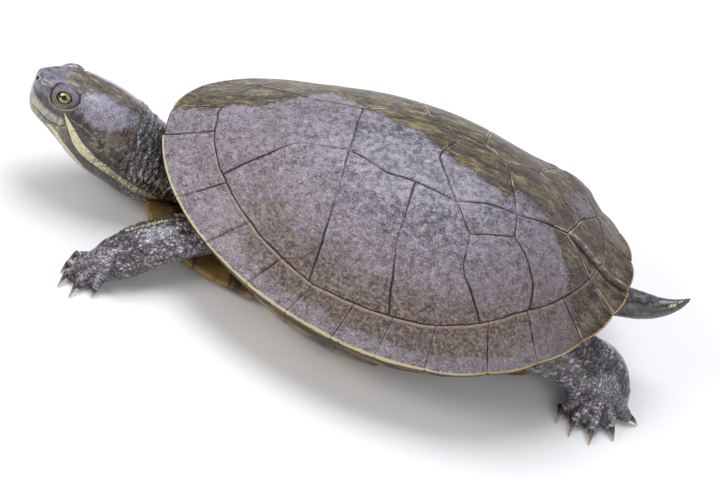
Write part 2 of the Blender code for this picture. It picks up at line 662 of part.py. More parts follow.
def build_underside():
    """Front lobe, middle and rear lobe of the plastron, and the two bridges."""
    left = [i / 7 for i in range(8)]
    steps = [PLASTRON_FRONT_SEAM + (PLASTRON_REAR_SEAM - PLASTRON_FRONT_SEAM) * t for t in left]

    def flank(x):
        run = float(np.interp(x / 0.70, [p[0] for p in RIM_POINTS], RIM_RUN))
        return inward(run, 1, 0.668)

    side = [flank(x) for x in steps]
    half = 0.5 * GAP
    middle = [(x, y) for x, y in side] + [(x, -y) for x, y in reversed(side)]
    slab("plastron_middle", middle, PLASTRON_TOP, PLASTRON_BOTTOM, 0.985)
    for name, seam, lobe in (("plastron_front", side[0][0] - half, FRONT_LOBE),
                             ("plastron_rear", side[-1][0] + half, REAR_LOBE)):
        tilt = lobe[3]
        solid = slab(name, lobe_outline(seam, lobe), PLASTRON_TOP, PLASTRON_BOTTOM, 0.975, tilt)
        if tilt:
            combine(solid, [build_trunk("cut", 0.0006)], "DIFFERENCE")
            keep_largest(solid)
    for side_sign, word in ((1, "left"), (-1, "right")):
        runs = seam_runs(1)
        a, b = runs[3] - 0.030, runs[7] - 0.085
        sections = []
        for k in range(9):
            run = a + (b - a) * k / 8
            x_rim, _ = rim_point(run, side_sign)
            edge = rim_height(x_rim) - lip_depth(x_rim)
            tuck = 0.045 * abs(k / 4 - 1) ** 3
            shape = ((0.972 - tuck, under_lip(run, side_sign, 0.972 - tuck) - 0.004),
                     (0.938 - tuck, edge - 0.028 - 0.3 * tuck), (0.830 - tuck, -0.099),
                     (0.690, PLASTRON_BOTTOM + 0.002),
                     (0.680, PLASTRON_TOP + 0.006), (0.822 - tuck, -0.055),
                     (0.906 - 0.5 * tuck, -0.012),
                     (0.922 - 0.5 * tuck, under_lip(run, side_sign, 0.922 - 0.5 * tuck) - 0.004))
            sections.append([inward(run, side_sign, s) + (z,) for s, z in shape])
        size = len(sections[0])
        vertices = [p for section in sections for p in section]
        faces = [tuple(range(size)), tuple(8 * size + i for i in range(size))]
        for k in range(8):
            for i in range(size):
                j = (i + 1) % size
                faces.append((k * size + i, k * size + j, (k + 1) * size + j, (k + 1) * size + i))
        bridge = make_object(f"bridge_{word}", vertices, faces, "under_shell")
        combine(bridge, [build_trunk("cut", 0.0006)], "DIFFERENCE")
        keep_largest(bridge)


# ---------------------------------------------------------------- soft parts
def ring(centre, wide, tall, half_width, up, down, power, around):
    """A closed superellipse round a centre, in the plane of two unit vectors."""
    points = []
    for i in range(around):
        angle = 2.0 * math.pi * (i + 0.5) / around
        c, s = math.cos(angle), math.sin(angle)
        u = math.copysign(abs(c) ** (2.0 / power), c) * half_width
        v = math.copysign(abs(s) ** (2.0 / power), s) * (up if s > 0 else down)
        points.append(centre + wide * u + tall * v)
    return points


def skin_over(rings):
    """Faces that join equal rings in order, closed at both ends."""
    around = len(rings[0])
    vertices = [tuple(p) for r in rings for p in r]
    faces = [tuple(range(around)), tuple((len(rings) - 1) * around + i for i in range(around))]
    for k in range(len(rings) - 1):
        for i in range(around):
            j = (i + 1) % around
            faces.append((k * around + i, k * around + j, (k + 1) * around + j,
                          (k + 1) * around + i))
    return vertices, faces


def tube(name, stations, around, look, up_hint=(0, 0, 1), power=2.0):
    """A limb: stations are (centre, half width, half height), lofted along their own path."""
    centres = [Vector(s[0]) for s in stations]
    rings = []
    for k, (_, width, height) in enumerate(stations):
        ahead = centres[min(k + 1, len(centres) - 1)] - centres[max(k - 1, 0)]
        ahead.normalize()
        hint = Vector(up_hint)
        wide = ahead.cross(hint).normalized()
        tall = wide.cross(ahead).normalized()
        rings.append(ring(centres[k], wide, tall, width, height, height, power, around))
    vertices, faces = skin_over(rings)
    return make_object(name, vertices, faces, look)


def apply_modifiers(obj):
    """Replace an object's mesh by what its modifiers make of it."""
    bpy.context.view_layer.update()
    graph = bpy.context.evaluated_depsgraph_get()
    mesh = bpy.data.meshes.new_from_object(obj.evaluated_get(graph))
    obj.modifiers.clear()
    old = obj.data
    obj.data = mesh
    mesh.name = obj.name
    bpy.data.meshes.remove(old)


def combine(base, others, operation):
    """Boolean the others into the base one after another, then drop them."""
    for other in others:
        tool = base.modifiers.new("join", "BOOLEAN")
        tool.object = other
        tool.operation = operation
        tool.solver = "EXACT"
        apply_modifiers(base)
        bpy.data.objects.remove(other, do_unlink=True)
    return base


def fuse(base, others, grain, facets):
    """Melt overlapping pieces into one closed skin of about so many facets."""
    work = bmesh.new()
    work.from_mesh(base.data)
    for other in others:
        work.from_mesh(other.data)
    work.to_mesh(base.data)
    work.free()
    for other in others:
        bpy.data.objects.remove(other, do_unlink=True)
    melt = base.modifiers.new("melt", "REMESH")
    melt.mode = "VOXEL"
    melt.voxel_size = grain
    apply_modifiers(base)
    base.data.calc_loop_triangles()
    thin = base.modifiers.new("thin", "DECIMATE")
    thin.ratio = facets / len(base.data.loop_triangles)
    thin.use_collapse_triangulate = True
    apply_modifiers(base)
    base.data.shade_smooth()
    return base


def keep_largest(obj):
    """Drop the loose crumbs that a cut leaves behind."""
    work = bmesh.new()
    work.from_mesh(obj.data)
    left = set(work.verts)
    islands = []
    while left:
        stack = [left.pop()]
        island = set(stack)
        while stack:
            for edge in stack.pop().link_edges:
                for vert in edge.verts:
                    if vert in left:
                        left.discard(vert)
                        island.add(vert)
                        stack.append(vert)
        islands.append(island)
    islands.sort(key=len)
    crumbs = [v for island in islands[:-1] for v in island]
    bmesh.ops.delete(work, geom=crumbs, context="VERTS")
    work.to_mesh(obj.data)
    work.free()


def flatten_sole(obj):
    """Cut off what reaches below the soles' level."""
    work = bmesh.new()
    work.from_mesh(obj.data)
    cut = bmesh.ops.bisect_plane(work, geom=work.verts[:] + work.edges[:] + work.faces[:],
                                 plane_co=world(0, 0, SOLE_LEVEL), plane_no=(0, 0, -1),
                                 clear_outer=True,
                                 dist=1e-7)
    edges = [e for e in cut["geom_cut"] if isinstance(e, bmesh.types.BMEdge)]
    bmesh.ops.holes_fill(work, edges=edges)
    bmesh.ops.recalc_face_normals(work, faces=work.faces)
    work.to_mesh(obj.data)
    work.free()


def build_leg(name, limb, thickness_hint, palm, toes, toe_size, cutter):
    """A leg with its webbed foot, five toes and their claws, in one solid."""
    leg = tube(name, limb, 14, "skin", thickness_hint, 2.3)
    palm_centre = Vector(palm)
    extras = []
    web = []
    for number, (end, claw_end) in enumerate(toes):
        end, claw_end = Vector(end), Vector(claw_end)
        reach = end - palm_centre
        ahead = reach.normalized()
        root = palm_centre + reach * 0.25
        knuckle = palm_centre + reach * 0.68 + Vector((0, 0, toe_size * 0.35))
        extras.append(tube(f"toe_{number}", [
            (root, toe_size * 1.25, toe_size * 1.2),
            (knuckle, toe_size * 1.1, toe_size),
            (end - ahead * toe_size * 0.4, toe_size * 0.92, toe_size * 0.80),
            (end, toe_size * 0.62, toe_size * 0.55)], 8, "skin"))
        start = end.lerp(claw_end, -0.4)
        middle = end.lerp(claw_end, 0.45) + Vector((0, 0, 0.003))
        size = toe_size * 0.50
        extras.append(tube(f"claw_{number}", [(start, size, size), (middle, size * 0.8, size * 0.8),
                                              (claw_end, size * 0.25, size * 0.25)], 6, "skin"))
        web.append(palm_centre + reach * WEB_REACH)
    flat = [palm_centre + (palm_centre - web[2]) * 0.5] + web
    upper = [tuple(p + Vector((0, 0, toe_size * 0.30))) for p in flat]
    lower = [tuple(p - Vector((0, 0, toe_size * 0.60))) for p in flat]
    count = len(flat)
    faces = [tuple(range(count)), tuple(count + i for i in range(count))]
    faces += [(i, (i + 1) % count, count + (i + 1) % count, count + i) for i in range(count)]
    extras.append(make_object("web", upper + lower, faces, "skin"))
    fuse(leg, extras, 0.0005, 760)
    combine(leg, [cutter], "DIFFERENCE")
    keep_largest(leg)
    flatten_sole(leg)
    return leg


def head_frame(distance):
    """Middle of the head at a distance ahead of its base, in plan, and the left direction."""
    yaw = math.radians(HEAD_YAW)
    x = HEAD_BASE[0] - distance * math.cos(yaw)
    y = HEAD_BASE[1] + distance * math.sin(yaw)
    return x, y, Vector((math.sin(yaw), math.cos(yaw), 0.0))


def build_head():
    """Head with its two eyes set in sockets."""
    rings = []
    for distance, level, half_width, up, down, power in HEAD_STATIONS:
        x, y, leftwards = head_frame(distance)
        rings.append(ring(Vector((x, y, level)), leftwards, Vector((0, 0, 1)),
                          half_width, up, down, power, 20))
    vertices, faces = skin_over(rings)
    head = make_object("head", vertices, faces, "skin", 50.0)
    for side, word in ((1, "left"), (-1, "right")):
        x, y, leftwards = head_frame(EYE_AHEAD)
        centre = Vector((x, y, EYE_LEVEL)) + leftwards * (EYE_OUT * side)
        for name, radius in (("socket", EYE_RADIUS + 0.8 * GAP), (f"eye_{word}", EYE_RADIUS)):
            mesh = bpy.data.meshes.new(name)
            work = bmesh.new()
            bmesh.ops.create_uvsphere(work, u_segments=12, v_segments=8,
                                      radius=radius * SHELL_LENGTH)
            bmesh.ops.translate(work, verts=work.verts, vec=world(*centre))
            work.to_mesh(mesh)
            work.free()
            mesh.shade_smooth()
            mesh.materials.append(finish("eye"))
            ball = bpy.data.objects.new(name, mesh)
            bpy.context.scene.collection.objects.link(ball)
            if name == "socket":
                combine(head, [ball], "DIFFERENCE")
    return head


def build_neck_and_tail():
    """Neck from the front opening to the head, and the tail."""
    rings = []
    yaw = Vector((math.sin(math.radians(HEAD_YAW)), math.cos(math.radians(HEAD_YAW)), 0.0))
    straight = Vector((0.0, 1.0, 0.0))
    for number, (x, y, z, half_width, up, down) in enumerate(NECK_STATIONS):
        turn = number / (len(NECK_STATIONS) - 1)
        wide = straight.lerp(yaw, turn).normalized()
        rings.append(ring(Vector((x, y, z)), wide, Vector((0, 0, 1)), half_width, up, down,
                          2.15, 20))
    vertices, faces = skin_over(rings)
    neck = make_object("neck", vertices, faces, "skin")
    lobe = lobe_outline(PLASTRON_FRONT_SEAM, FRONT_LOBE, 1.5 * GAP)
    throat = slab("cut", lobe, PLASTRON_TOP + 3.0 * GAP, -0.3, 1.0, FRONT_LOBE[3])
    combine(neck, [build_trunk("cut", 0.0006), throat], "DIFFERENCE")
    keep_largest(neck)
    stations = [((x, y, z), r, r) for x, y, z, r in TAIL_STATIONS]
    tail = tube("tail", stations, 12, "skin")
    combine(tail, [build_trunk("cut", 0.0006)], "DIFFERENCE")
    keep_largest(tail)


def centre_on_floor():
    """Move everything so that the middle of the bounding box is over the origin."""
    bpy.context.view_layer.update()
    solids = [o for o in bpy.data.objects if o.type == "MESH"]
    points = [o.matrix_world @ v.co for o in solids for v in o.data.vertices]
    shift = Vector((0.0, 0.0, 0.0))
    for axis in range(3):
        low = min(p[axis] for p in points)
        high = max(p[axis] for p in points)
        shift[axis] = -low if axis == 2 else -0.5 * (low + high)
    for obj in solids:
        obj.location = shift


def main():
    clear_scene()
    build_back_plates()
    build_marginals()
    build_trunk()
    build_underside()
    build_head()
    build_neck_and_tail()
    for name, (limb, hint, palm, toes, toe_size) in LEGS.items():
        build_leg(name, limb, hint, palm, toes, toe_size, build_trunk("cut", 0.0006))
    centre_on_floor()


if __name__ == "__main__":
    main()
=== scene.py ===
"""Looks of the slider turtle museum model: shell plates, one skin, eyes, claws and a studio.

The animal faces -X with its left side towards -Y and +Z up, in metres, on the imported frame.
Shell shapes are worked out in fractions of the straight shell length, in a shell frame: x runs
tailwards from the middle of the shell, y to the animal's left and z up from the rim at the
bridge.  Head shapes use a head frame: distance ahead of the head's base, to the left and up.
"""
from __future__ import annotations

import json
import logging
import math
from dataclasses import dataclass
from enum import Enum
from typing import Callable, Sequence

import bmesh
import bpy
import numpy as np
from mathutils import Euler, Matrix, Vector

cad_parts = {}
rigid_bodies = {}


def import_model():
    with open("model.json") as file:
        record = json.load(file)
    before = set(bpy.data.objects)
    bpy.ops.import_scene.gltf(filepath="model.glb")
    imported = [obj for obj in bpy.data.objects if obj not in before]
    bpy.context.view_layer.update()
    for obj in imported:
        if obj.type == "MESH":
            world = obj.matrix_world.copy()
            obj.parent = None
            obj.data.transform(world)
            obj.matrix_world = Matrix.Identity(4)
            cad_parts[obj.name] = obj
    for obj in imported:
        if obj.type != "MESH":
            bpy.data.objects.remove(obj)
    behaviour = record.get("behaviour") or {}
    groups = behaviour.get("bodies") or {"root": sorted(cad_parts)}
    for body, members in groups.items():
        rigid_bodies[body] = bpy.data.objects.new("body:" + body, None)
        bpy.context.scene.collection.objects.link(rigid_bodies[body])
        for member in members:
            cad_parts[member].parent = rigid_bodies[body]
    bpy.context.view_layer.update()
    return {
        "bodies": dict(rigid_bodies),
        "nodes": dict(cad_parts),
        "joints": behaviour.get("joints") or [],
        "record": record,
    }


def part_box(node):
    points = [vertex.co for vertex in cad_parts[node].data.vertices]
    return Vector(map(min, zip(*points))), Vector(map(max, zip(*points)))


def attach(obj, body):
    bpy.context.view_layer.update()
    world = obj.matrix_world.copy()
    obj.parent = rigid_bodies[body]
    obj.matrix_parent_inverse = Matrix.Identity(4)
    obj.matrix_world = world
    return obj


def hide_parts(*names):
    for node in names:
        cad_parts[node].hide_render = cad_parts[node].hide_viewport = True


LOG = logging.getLogger("turtle")
Point = tuple[float, ...]
Array = np.ndarray
Piece = bpy.types.Object
Fields = dict[str, Array]
MM = 0.001


# ---- small tools
def smoothstep(low: float, high: float, value: Array) -> Array:
    """Ease from 0 at low to 1 at high."""
    t = np.clip((value - low) / (high - low), 0.0, 1.0)
    return t * t * (3.0 - 2.0 * t)


def bell(value: Array, width: float, middle: float = 0.0) -> Array:
    """A bell of height 1 round a middle value."""
    return np.exp(-((value - middle) / width) ** 2)


def grain(points: Array, size: float, seed: int = 0) -> Array:
    """Smooth lattice noise.

    Args:
        points: positions, one row each.
        size: feature size in the same unit.
        seed: picks another pattern.
    Returns:
        One value from -1 to 1 for each position.
    """
    place = points / size + 211.37
    cell = np.floor(place).astype(np.int64)
    part = place - cell
    part = part * part * (3.0 - 2.0 * part)
    total = np.zeros(len(points))
    for corner in range(8):
        step = np.array([corner & 1, (corner >> 1) & 1, corner >> 2])
        weight = np.prod(np.where(step, part, 1.0 - part), axis=1)
        mixed = cell + step
        code = mixed[:, 0] * 73856093 ^ mixed[:, 1] * 19349663 ^ mixed[:, 2] * 83492791
        code = (code ^ (seed * 7919 + 17)) & 0xFFFFFFFF
        code = ((code ^ (code >> 13)) * 1274126177) & 0xFFFFFFFF
        code = (code ^ (code >> 16)) & 0xFFFF
        total += weight * (code / 32767.5 - 1.0)
    return total


def rough_grain(points: Array, size: float, seed: int = 0, layers: int = 3) -> Array:
    """Several layers of grain, each twice as fine and half as strong."""
    found = [grain(points, size / 2.0 ** k, seed + 31 * k) / 2.0 ** k for k in range(layers)]
    return sum(found) / 1.5


def line_distance(points: Array, line: Sequence[Point]) -> tuple[Array, Array]:
    """Nearest distance to a polyline and the run along it of the nearest place.

    Args:
        points: positions, one row each.
        line: corners of the polyline, one row each.
    Returns:
        Distances, and runs from the line's start.
    """
    line = np.asarray(line)
    best = np.full(len(points), np.inf)
    where = np.zeros(len(points))
    run = 0.0
    for a, b in zip(line[:-1], line[1:]):
        reach = b - a
        length = float(np.linalg.norm(reach))
        if length < 1e-9:
            continue
        share = np.clip((points - a) @ reach / length ** 2, 0.0, 1.0)
        away = np.linalg.norm(points - a - share[:, None] * reach, axis=1)
        closer = away < best
        best[closer] = away[closer]
        where[closer] = run + share[closer] * length
        run += length
    return best, where


def run_along(line: Array) -> Array:
    """Run from a polyline's start to each of its corners."""
    return np.concatenate([[0.0], np.cumsum(np.linalg.norm(np.diff(line, axis=0), axis=1))])


def resample(line: Array, shares: Array) -> Array:
    """Points of a polyline at shares of its whole run."""
    run = run_along(line)
    return np.stack([np.interp(shares * run[-1], run, column) for column in line.T], axis=1)


def flowing(rows: Sequence[Point], samples: int) -> Array:
    """A smooth curve through the rows of a table.

    Args:
        rows: the stations, a position followed by sizes.
        samples: how many rows to return.
    Returns:
        Rows of the same width, evenly spread along the run of the positions.
    """
    table = np.array(rows, float)
    run = run_along(table[:, :3])
    slope = np.gradient(table, run, axis=0)
    at = np.linspace(0.0, run[-1], samples)
    k = np.clip(np.searchsorted(run, at, side="right") - 1, 0, len(run) - 2)
    width = (run[k + 1] - run[k])[:, None]
    t = ((at - run[k]) / width[:, 0])[:, None]
    return ((2 * t ** 3 - 3 * t ** 2 + 1) * table[k] + (t ** 3 - 2 * t ** 2 + t) * width * slope[k]
            + (3 * t ** 2 - 2 * t ** 3) * table[k + 1] + (t ** 3 - t ** 2) * width * slope[k + 1])


def bent(a: Array, corner: Array, b: Array, shares: Point) -> list[Array]:
    """Points of the curve from a to b that a corner pulls outwards, at some shares."""
    return [(1 - t) ** 2 * a + 2 * t * (1 - t) * corner + t * t * b for t in shares]


def outward(place: Array, row: int) -> Array:
    """Unit normals of a grid of points, one row each, that point up in the middle of a row.

    Args:
        place: Grid of points.
        row: How many points a row has.

    Returns:
        Unit normals, one row each.
    """
    normal = np.cross(np.gradient(place, axis=0), np.gradient(place, axis=1))
    normal /= np.maximum(np.linalg.norm(normal, axis=2, keepdims=True), 1e-12)
    return (normal * math.copysign(1.0, normal[row, place.shape[1] // 2, 2])).reshape(-1, 3)


def grid_faces(grid: Array) -> list[tuple[int, ...]]:
    """Faces between the rows and columns of a grid of vertex numbers."""
    return [(grid[i, j], grid[i, j + 1], grid[i + 1, j + 1], grid[i + 1, j])
            for i in range(len(grid) - 1) for j in range(grid.shape[1] - 1)]


def activate(*objs: Piece) -> None:
    """Select only these objects, the first of them active.

    Args:
        objs: The objects to select.
    """
    for obj in list(bpy.context.selected_objects):
        obj.select_set(False)
    for obj in objs:
        obj.select_set(True)
        bpy.context.view_layer.objects.active = objs[0]


def edit_all(obj: Piece, *steps: Callable[[], object]) -> None:
    """Run mesh operators on the whole of an object in edit mode.

    Args:
        obj: The object to edit.
        steps: Operators to call in edit mode, in order.
    """
    activate(obj)
    bpy.ops.object.mode_set(mode="EDIT")
    bpy.ops.mesh.select_all(action="SELECT")
    for step in steps:
        step()
    bpy.ops.object.mode_set(mode="OBJECT")


def melt(obj: Piece, size: float, smoothing: int) -> None:
    """Turn an object's overlapping shapes into one evenly meshed, smoothed surface.

    Args:
        obj: the object.
        size: edge length of the new mesh in metres.
        smoothing: how many times it is smoothed.
    """
    activate(obj)
    remesh = obj.modifiers.new("melt", "REMESH")
    remesh.mode = "VOXEL"
    remesh.voxel_size = size
    bpy.ops.object.modifier_apply(modifier=remesh.name)
    edit_all(obj, lambda: bpy.ops.mesh.vertices_smooth(factor=0.5, repeat=smoothing))


def store(mesh: bpy.types.Mesh, fields: Fields) -> None:
    """Keep one number per vertex under each name.

    Args:
        mesh: Where the numbers are kept.
        fields: One array per name.
    """
    for name, values in fields.items():
        layer = mesh.attributes.new(name, "FLOAT", "POINT")
        layer.data.foreach_set("value", np.asarray(values, np.float32))


def read(mesh: bpy.types.Mesh, what: str = "co") -> Array:
    """Vertex positions of a mesh, or its normals with "normal", one row each.

    Args:
        mesh: The mesh to read.
        what: "position" or "normal".

    Returns:
        One row per vertex.
    """
    flat = np.empty(len(mesh.vertices) * 3, np.float32)
    mesh.vertices.foreach_get(what, flat)
    return flat.reshape(-1, 3).astype(float)


def write_points(mesh: bpy.types.Mesh, points: Array) -> None:
    """Put vertices at new positions."""
    mesh.vertices.foreach_set("co", np.asarray(points, np.float32).ravel())
    mesh.update()


def link(obj: Piece) -> Piece:
    """Put a new object into the scene."""
    bpy.context.scene.collection.objects.link(obj)
    return obj


def mesh_piece(name: str, points: Array, faces: Sequence[Sequence[int]],
               smooth: float = 60.0) -> Piece:
    """A closed mesh object with its faces turned outwards.

    Args:
        name: the piece's name.
        points: positions in metres.
        faces: corner numbers of every face.
        smooth: edges sharper than this angle in degrees stay crisp.
    Returns:
        The new object, linked to the scene.
    """
    mesh = bpy.data.meshes.new(name)
    mesh.from_pydata([tuple(p) for p in points], [], [tuple(f) for f in faces])
    work = bmesh.new()
    work.from_mesh(mesh)
    bmesh.ops.recalc_face_normals(work, faces=work.faces)
    work.to_mesh(mesh)
    work.free()
    mesh.shade_smooth()
    mesh.set_sharp_from_angle(angle=math.radians(smooth))
    return link(bpy.data.objects.new(name, mesh))


def settle(obj: Piece, material: bpy.types.Material,
           nodes: Sequence[str] = ()) -> None:
    """Finish a piece.

    Args:
        obj: the piece.
        material: its finish.
        nodes: the CAD nodes that it stands for.
    """
    obj.data.materials.append(material)
    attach(obj, "root")
    if nodes:
        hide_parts(*nodes)
    LOG.info("%s: %d faces", obj.name, len(obj.data.polygons))


# ---- the shell frame
@dataclass(frozen=True)
class ShellForm:
    """The shell's surface, in fractions of the shell length."""

    length: float = 0.25
    width: float = 0.744
    egg: float = 0.063
    height: float = 0.228
    power: float = 2.375
    flare: float = 1.176
    crown: float = 0.092
    front_rise: float = 0.039
    rear_rise: float = 0.106
    floor_level: float = -0.14
    boss: Point = (0.34, -0.235, 0.075, 0.03)
    plate: float = 0.011
    lip_free: float = 0.014
    lip_bridge: float = 0.026
    shift: Point = (0.0, 0.0, 0.0)

    @property
    def mm(self) -> float:
        """The shell's length in millimetres."""
        return 1000.0 * self.length

    def world(self, points: Array) -> Array:
        """Shell frame fractions to metres in the model's frame.

        Args:
            points: Shell frame rows.

        Returns:
            Metres, one row each.
        """
        points = np.asarray(points, float)
        moved = points * (1.0, -1.0, 1.0) - (0.0, 0.0, self.floor_level)
        return moved * self.length + np.asarray(self.shift)

    def local(self, points: Array) -> Array:
        """Metres in the model's frame to shell frame fractions."""
        moved = (np.asarray(points, float) - np.asarray(self.shift)) / self.length
        return moved * (1.0, -1.0, 1.0) + (0.0, 0.0, self.floor_level)

    def rim_half_width(self, x: Array) -> Array:
        """Half the shell's width at station x."""
        round_part = np.sqrt(np.maximum(0.0, 1.0 - 4.0 * x * x))
        return 0.5 * self.width * round_part * (1.0 + 2.0 * self.egg * x)

    def rim_height(self, x: Array) -> Array:
        """Height of the rim at station x.

        Args:
            x: Stations along the shell.

        Returns:
            Heights as fractions.
        """
        x = np.clip(x, -0.5, 0.5)
        front = self.front_rise * np.maximum(-2.0 * x, 0.0) ** 3.4
        rear = self.rear_rise * np.maximum(2.0 * x, 0.0) ** 2.7
        return np.where(x < 0.0, front, rear)

    def girth(self, x: Array, y: Array) -> tuple[Array, Array]:
        """Find where places lie on their rays from the crown.

        Args:
            x: stations tailwards.
            y: distances to the left.
        Returns:
            Way out between crown, 0, and rim, 1, and the rim's station on the same ray.
        """
        low = np.full(np.shape(x), 1e-4)
        high = np.full(np.shape(x), 1.6)
        for _ in range(34):
            share = 0.5 * (low + high)
            station = self.crown + (x - self.crown) / share
            outside = (np.abs(station) >= 0.5) | (np.abs(y) / share > self.rim_half_width(station))
            low = np.where(outside, share, low)
            high = np.where(outside, high, share)
        share = 0.5 * (low + high)
        return share, np.clip(self.crown + (x - self.crown) / share, -0.5, 0.5)

    def dome(self, x: Array, y: Array) -> Array:
        """Height of the shell's outer surface at plan places x and y.

        Args:
            x, y: Places in the plan.

        Returns:
            Heights as fractions.
        """
        share, station = self.girth(x, y)
        share = np.minimum(share, 1.0)
        rise = (1.0 - share ** self.power) ** self.flare
        height = self.rim_height(station) * (1.0 - rise) + self.height * rise
        cx, cy, radius, boss = self.boss
        swell = bell(np.hypot(x - cx, y - cy), radius)
        return height + boss * swell * np.minimum(1.0, (1.0 - share) * 9.0)

    def lip_depth(self, x: Array) -> Array:
        """How deep the rim's outer lip is."""
        bridge = np.exp(-((x + 0.02) / 0.2) ** 4)
        return self.lip_free + (self.lip_bridge - self.lip_free) * bridge


class Side(Enum):
    """The animal's left and right."""

    LEFT = 1
    RIGHT = -1

    @property
    def word(self) -> str:
        """The side's name in piece names."""
        return self.name.lower()


@dataclass(frozen=True)
class RimRun:
    """Runs along the rim, from the front midline to the tail notch."""

    form: ShellForm
    shares: Point = (0.838, 0.842, 0.868, 0.838, 0.788, 0.812)
    share_at: Point = (0.0, 0.2, 0.4, 0.6, 0.76, 1.0)
    marginals: Point = (1.42, 1.07, 1.08, 0.88, 0.94, 0.84, 0.93, 1.15, 0.94, 0.95, 0.88, 0.74)
    nuchal_left: float = 0.06
    nuchal_right: float = 0.034
    tail_seam: float = 0.014

    def table(self) -> tuple[Array, Array, Array]:
        """Rim stations, half widths and runs, front to rear.

        Returns:
            Stations, half widths and runs.
        """
        x = -0.5 * np.cos(np.pi * np.arange(401) / 400.0)
        y = self.form.rim_half_width(x)
        run = np.concatenate([[0.0], np.cumsum(np.hypot(np.diff(x), np.diff(y)))])
        return x, y, run

    @property
    def total(self) -> float:
        """The whole run of one side."""
        return float(self.table()[2][-1])

    def rays(self, count: int) -> list[tuple[float, int]]:
        """Runs and sides of rays that are spread all round the rim.

        Args:
            count: How many rays to spread.

        Returns:
            A run and a side for each ray.
        """
        total = self.total
        around = [2.0 * total * k / count for k in range(count)]
        return [(run, 1) if run <= total else (2.0 * total - run, -1) for run in around]

    def ray(self, run: Array, side: int, share: Array) -> Array:
        """Plan points on the rays from the crown to the rim.

        Args:
            run: rim runs, which may pass the midline at either end.
            side: +1 left, -1 right.
            share: ways out along the rays.
        Returns:
            Plan points.
        """
        xs, ys, runs = self.table()
        over = run > runs[-1]
        run = np.where(over, 2.0 * runs[-1] - run, run)
        sign = np.where(over, -side, side)
        sign = np.where(run < 0.0, -sign, sign)
        run = np.abs(run)
        x = np.interp(run, runs, xs)
        y = np.interp(run, runs, ys) * sign
        crown = self.form.crown
        return np.stack([crown + (x - crown) * share, y * share], axis=-1)

    def margin_share(self, run: Array) -> Array:
        """Where the marginal plates start on their rays.

        Args:
            run: Runs along the rim.

        Returns:
            Shares of the way from the middle to the rim.
        """
        total = self.total
        run = np.abs(np.where(run > total, 2.0 * total - run, run))
        return np.interp(run / total, self.share_at, self.shares)

    def margin(self, run: float, side: int, share: float | None = None) -> Point:
        """A plan point on a ray, by default on the seam between marginals and costals."""
        share = self.margin_share(run) if share is None else share
        return tuple(float(v) for v in self.ray(run, side, share))

    def arc(self, a: float, b: float, side: int, pieces: int = 28) -> list[Point]:
        """The seam's course between two runs."""
        return [self.margin(run, side) for run in a + (b - a) * np.arange(pieces + 1) / pieces]

    def seams(self, side: int) -> list[float]:
        """Runs of the seams between marginal plates.

        Args:
            side: 1 for the left, -1 for the right.

        Returns:
            Runs, front to rear.
        """
        first = self.nuchal_left if side > 0 else self.nuchal_right
        last = self.total - self.tail_seam * side
        runs = np.cumsum(self.marginals) * (last - first) / sum(self.marginals) + first
        return [first] + [float(r) for r in runs]

    def run_at(self, point: Point) -> float:
        """The rim run whose ray passes through a plan point."""
        xs, _, runs = self.table()
        return float(np.interp(self.form.girth(*np.array(point))[1], xs, runs))

    def waver(self, plan: Array) -> Array:
        """Plan points moved a little, the same for both plates at a seam.

        Args:
            plan: Points in the plan.

        Returns:
            The same points, moved.
        """
        flat = plan.reshape(-1, 2)
        spots = np.pad(flat, ((0, 0), (0, 1)))
        hold = np.clip((1.0 - self.form.girth(*flat.T)[0]) * 9.0, 0.0, 1.0)[:, None]
        sway = np.stack([grain(spots, 0.03, seed) for seed in (3, 4)], axis=1) * 0.0022
        fine = np.stack([grain(spots, 0.01, seed) for seed in (5, 6)], axis=1) * 0.0007
        return (flat + (sway + fine) * hold).reshape(plan.shape)


# ---- horny plates
@dataclass(frozen=True)
class PlateRelief:
    """Relief of a horny plate, in millimetres."""

    roll: float = 0.34
    roll_width: float = 0.5
    lip: float = 0.06
    ring: float = 0.03
    ring_step: float = 1.45
    ring_reach: float = 7.0
    sway: float = 0.34
    fine: float = 0.11
    thickness: float = 2.6
    slit: float = 0.14

    def height(self, edge: Array, spots: Array) -> Array:
        """Outward relief in millimetres.

        Args:
            edge: distance to the plate's border in millimetres.
            spots: positions in millimetres.
        Returns:
            Height of the relief at each position.
        """
        roll = -self.roll * np.exp(-np.maximum(edge, 0.0) ** 1.3 / self.roll_width ** 1.3)
        phase = edge / self.ring_step + 0.35 * grain(spots, 9.0, 12)
        ring = self.ring * np.sin(2.0 * np.pi * phase) * np.exp(-edge / self.ring_reach)
        ring *= smoothstep(1.6, 3.0, edge) * (0.6 + 0.6 * grain(spots, 15.0, 13))
        sway = self.sway * rough_grain(spots, 24.0, 14, 2) * smoothstep(0.0, 4.0, edge)
        fine = self.fine * rough_grain(spots, 5.5, 15, 3) * smoothstep(0.0, 1.5, edge)
        return roll + self.lip * bell(edge, 0.9, 1.7) + ring + sway + fine


def crowded(count: int, crowd: float = 0.82) -> Array:
    """Shares from 0 to 1 that lie closer together at both ends."""
    t = np.linspace(0.0, 1.0, count + 1)
    return t - crowd * np.sin(2.0 * np.pi * t) / (2.0 * np.pi)


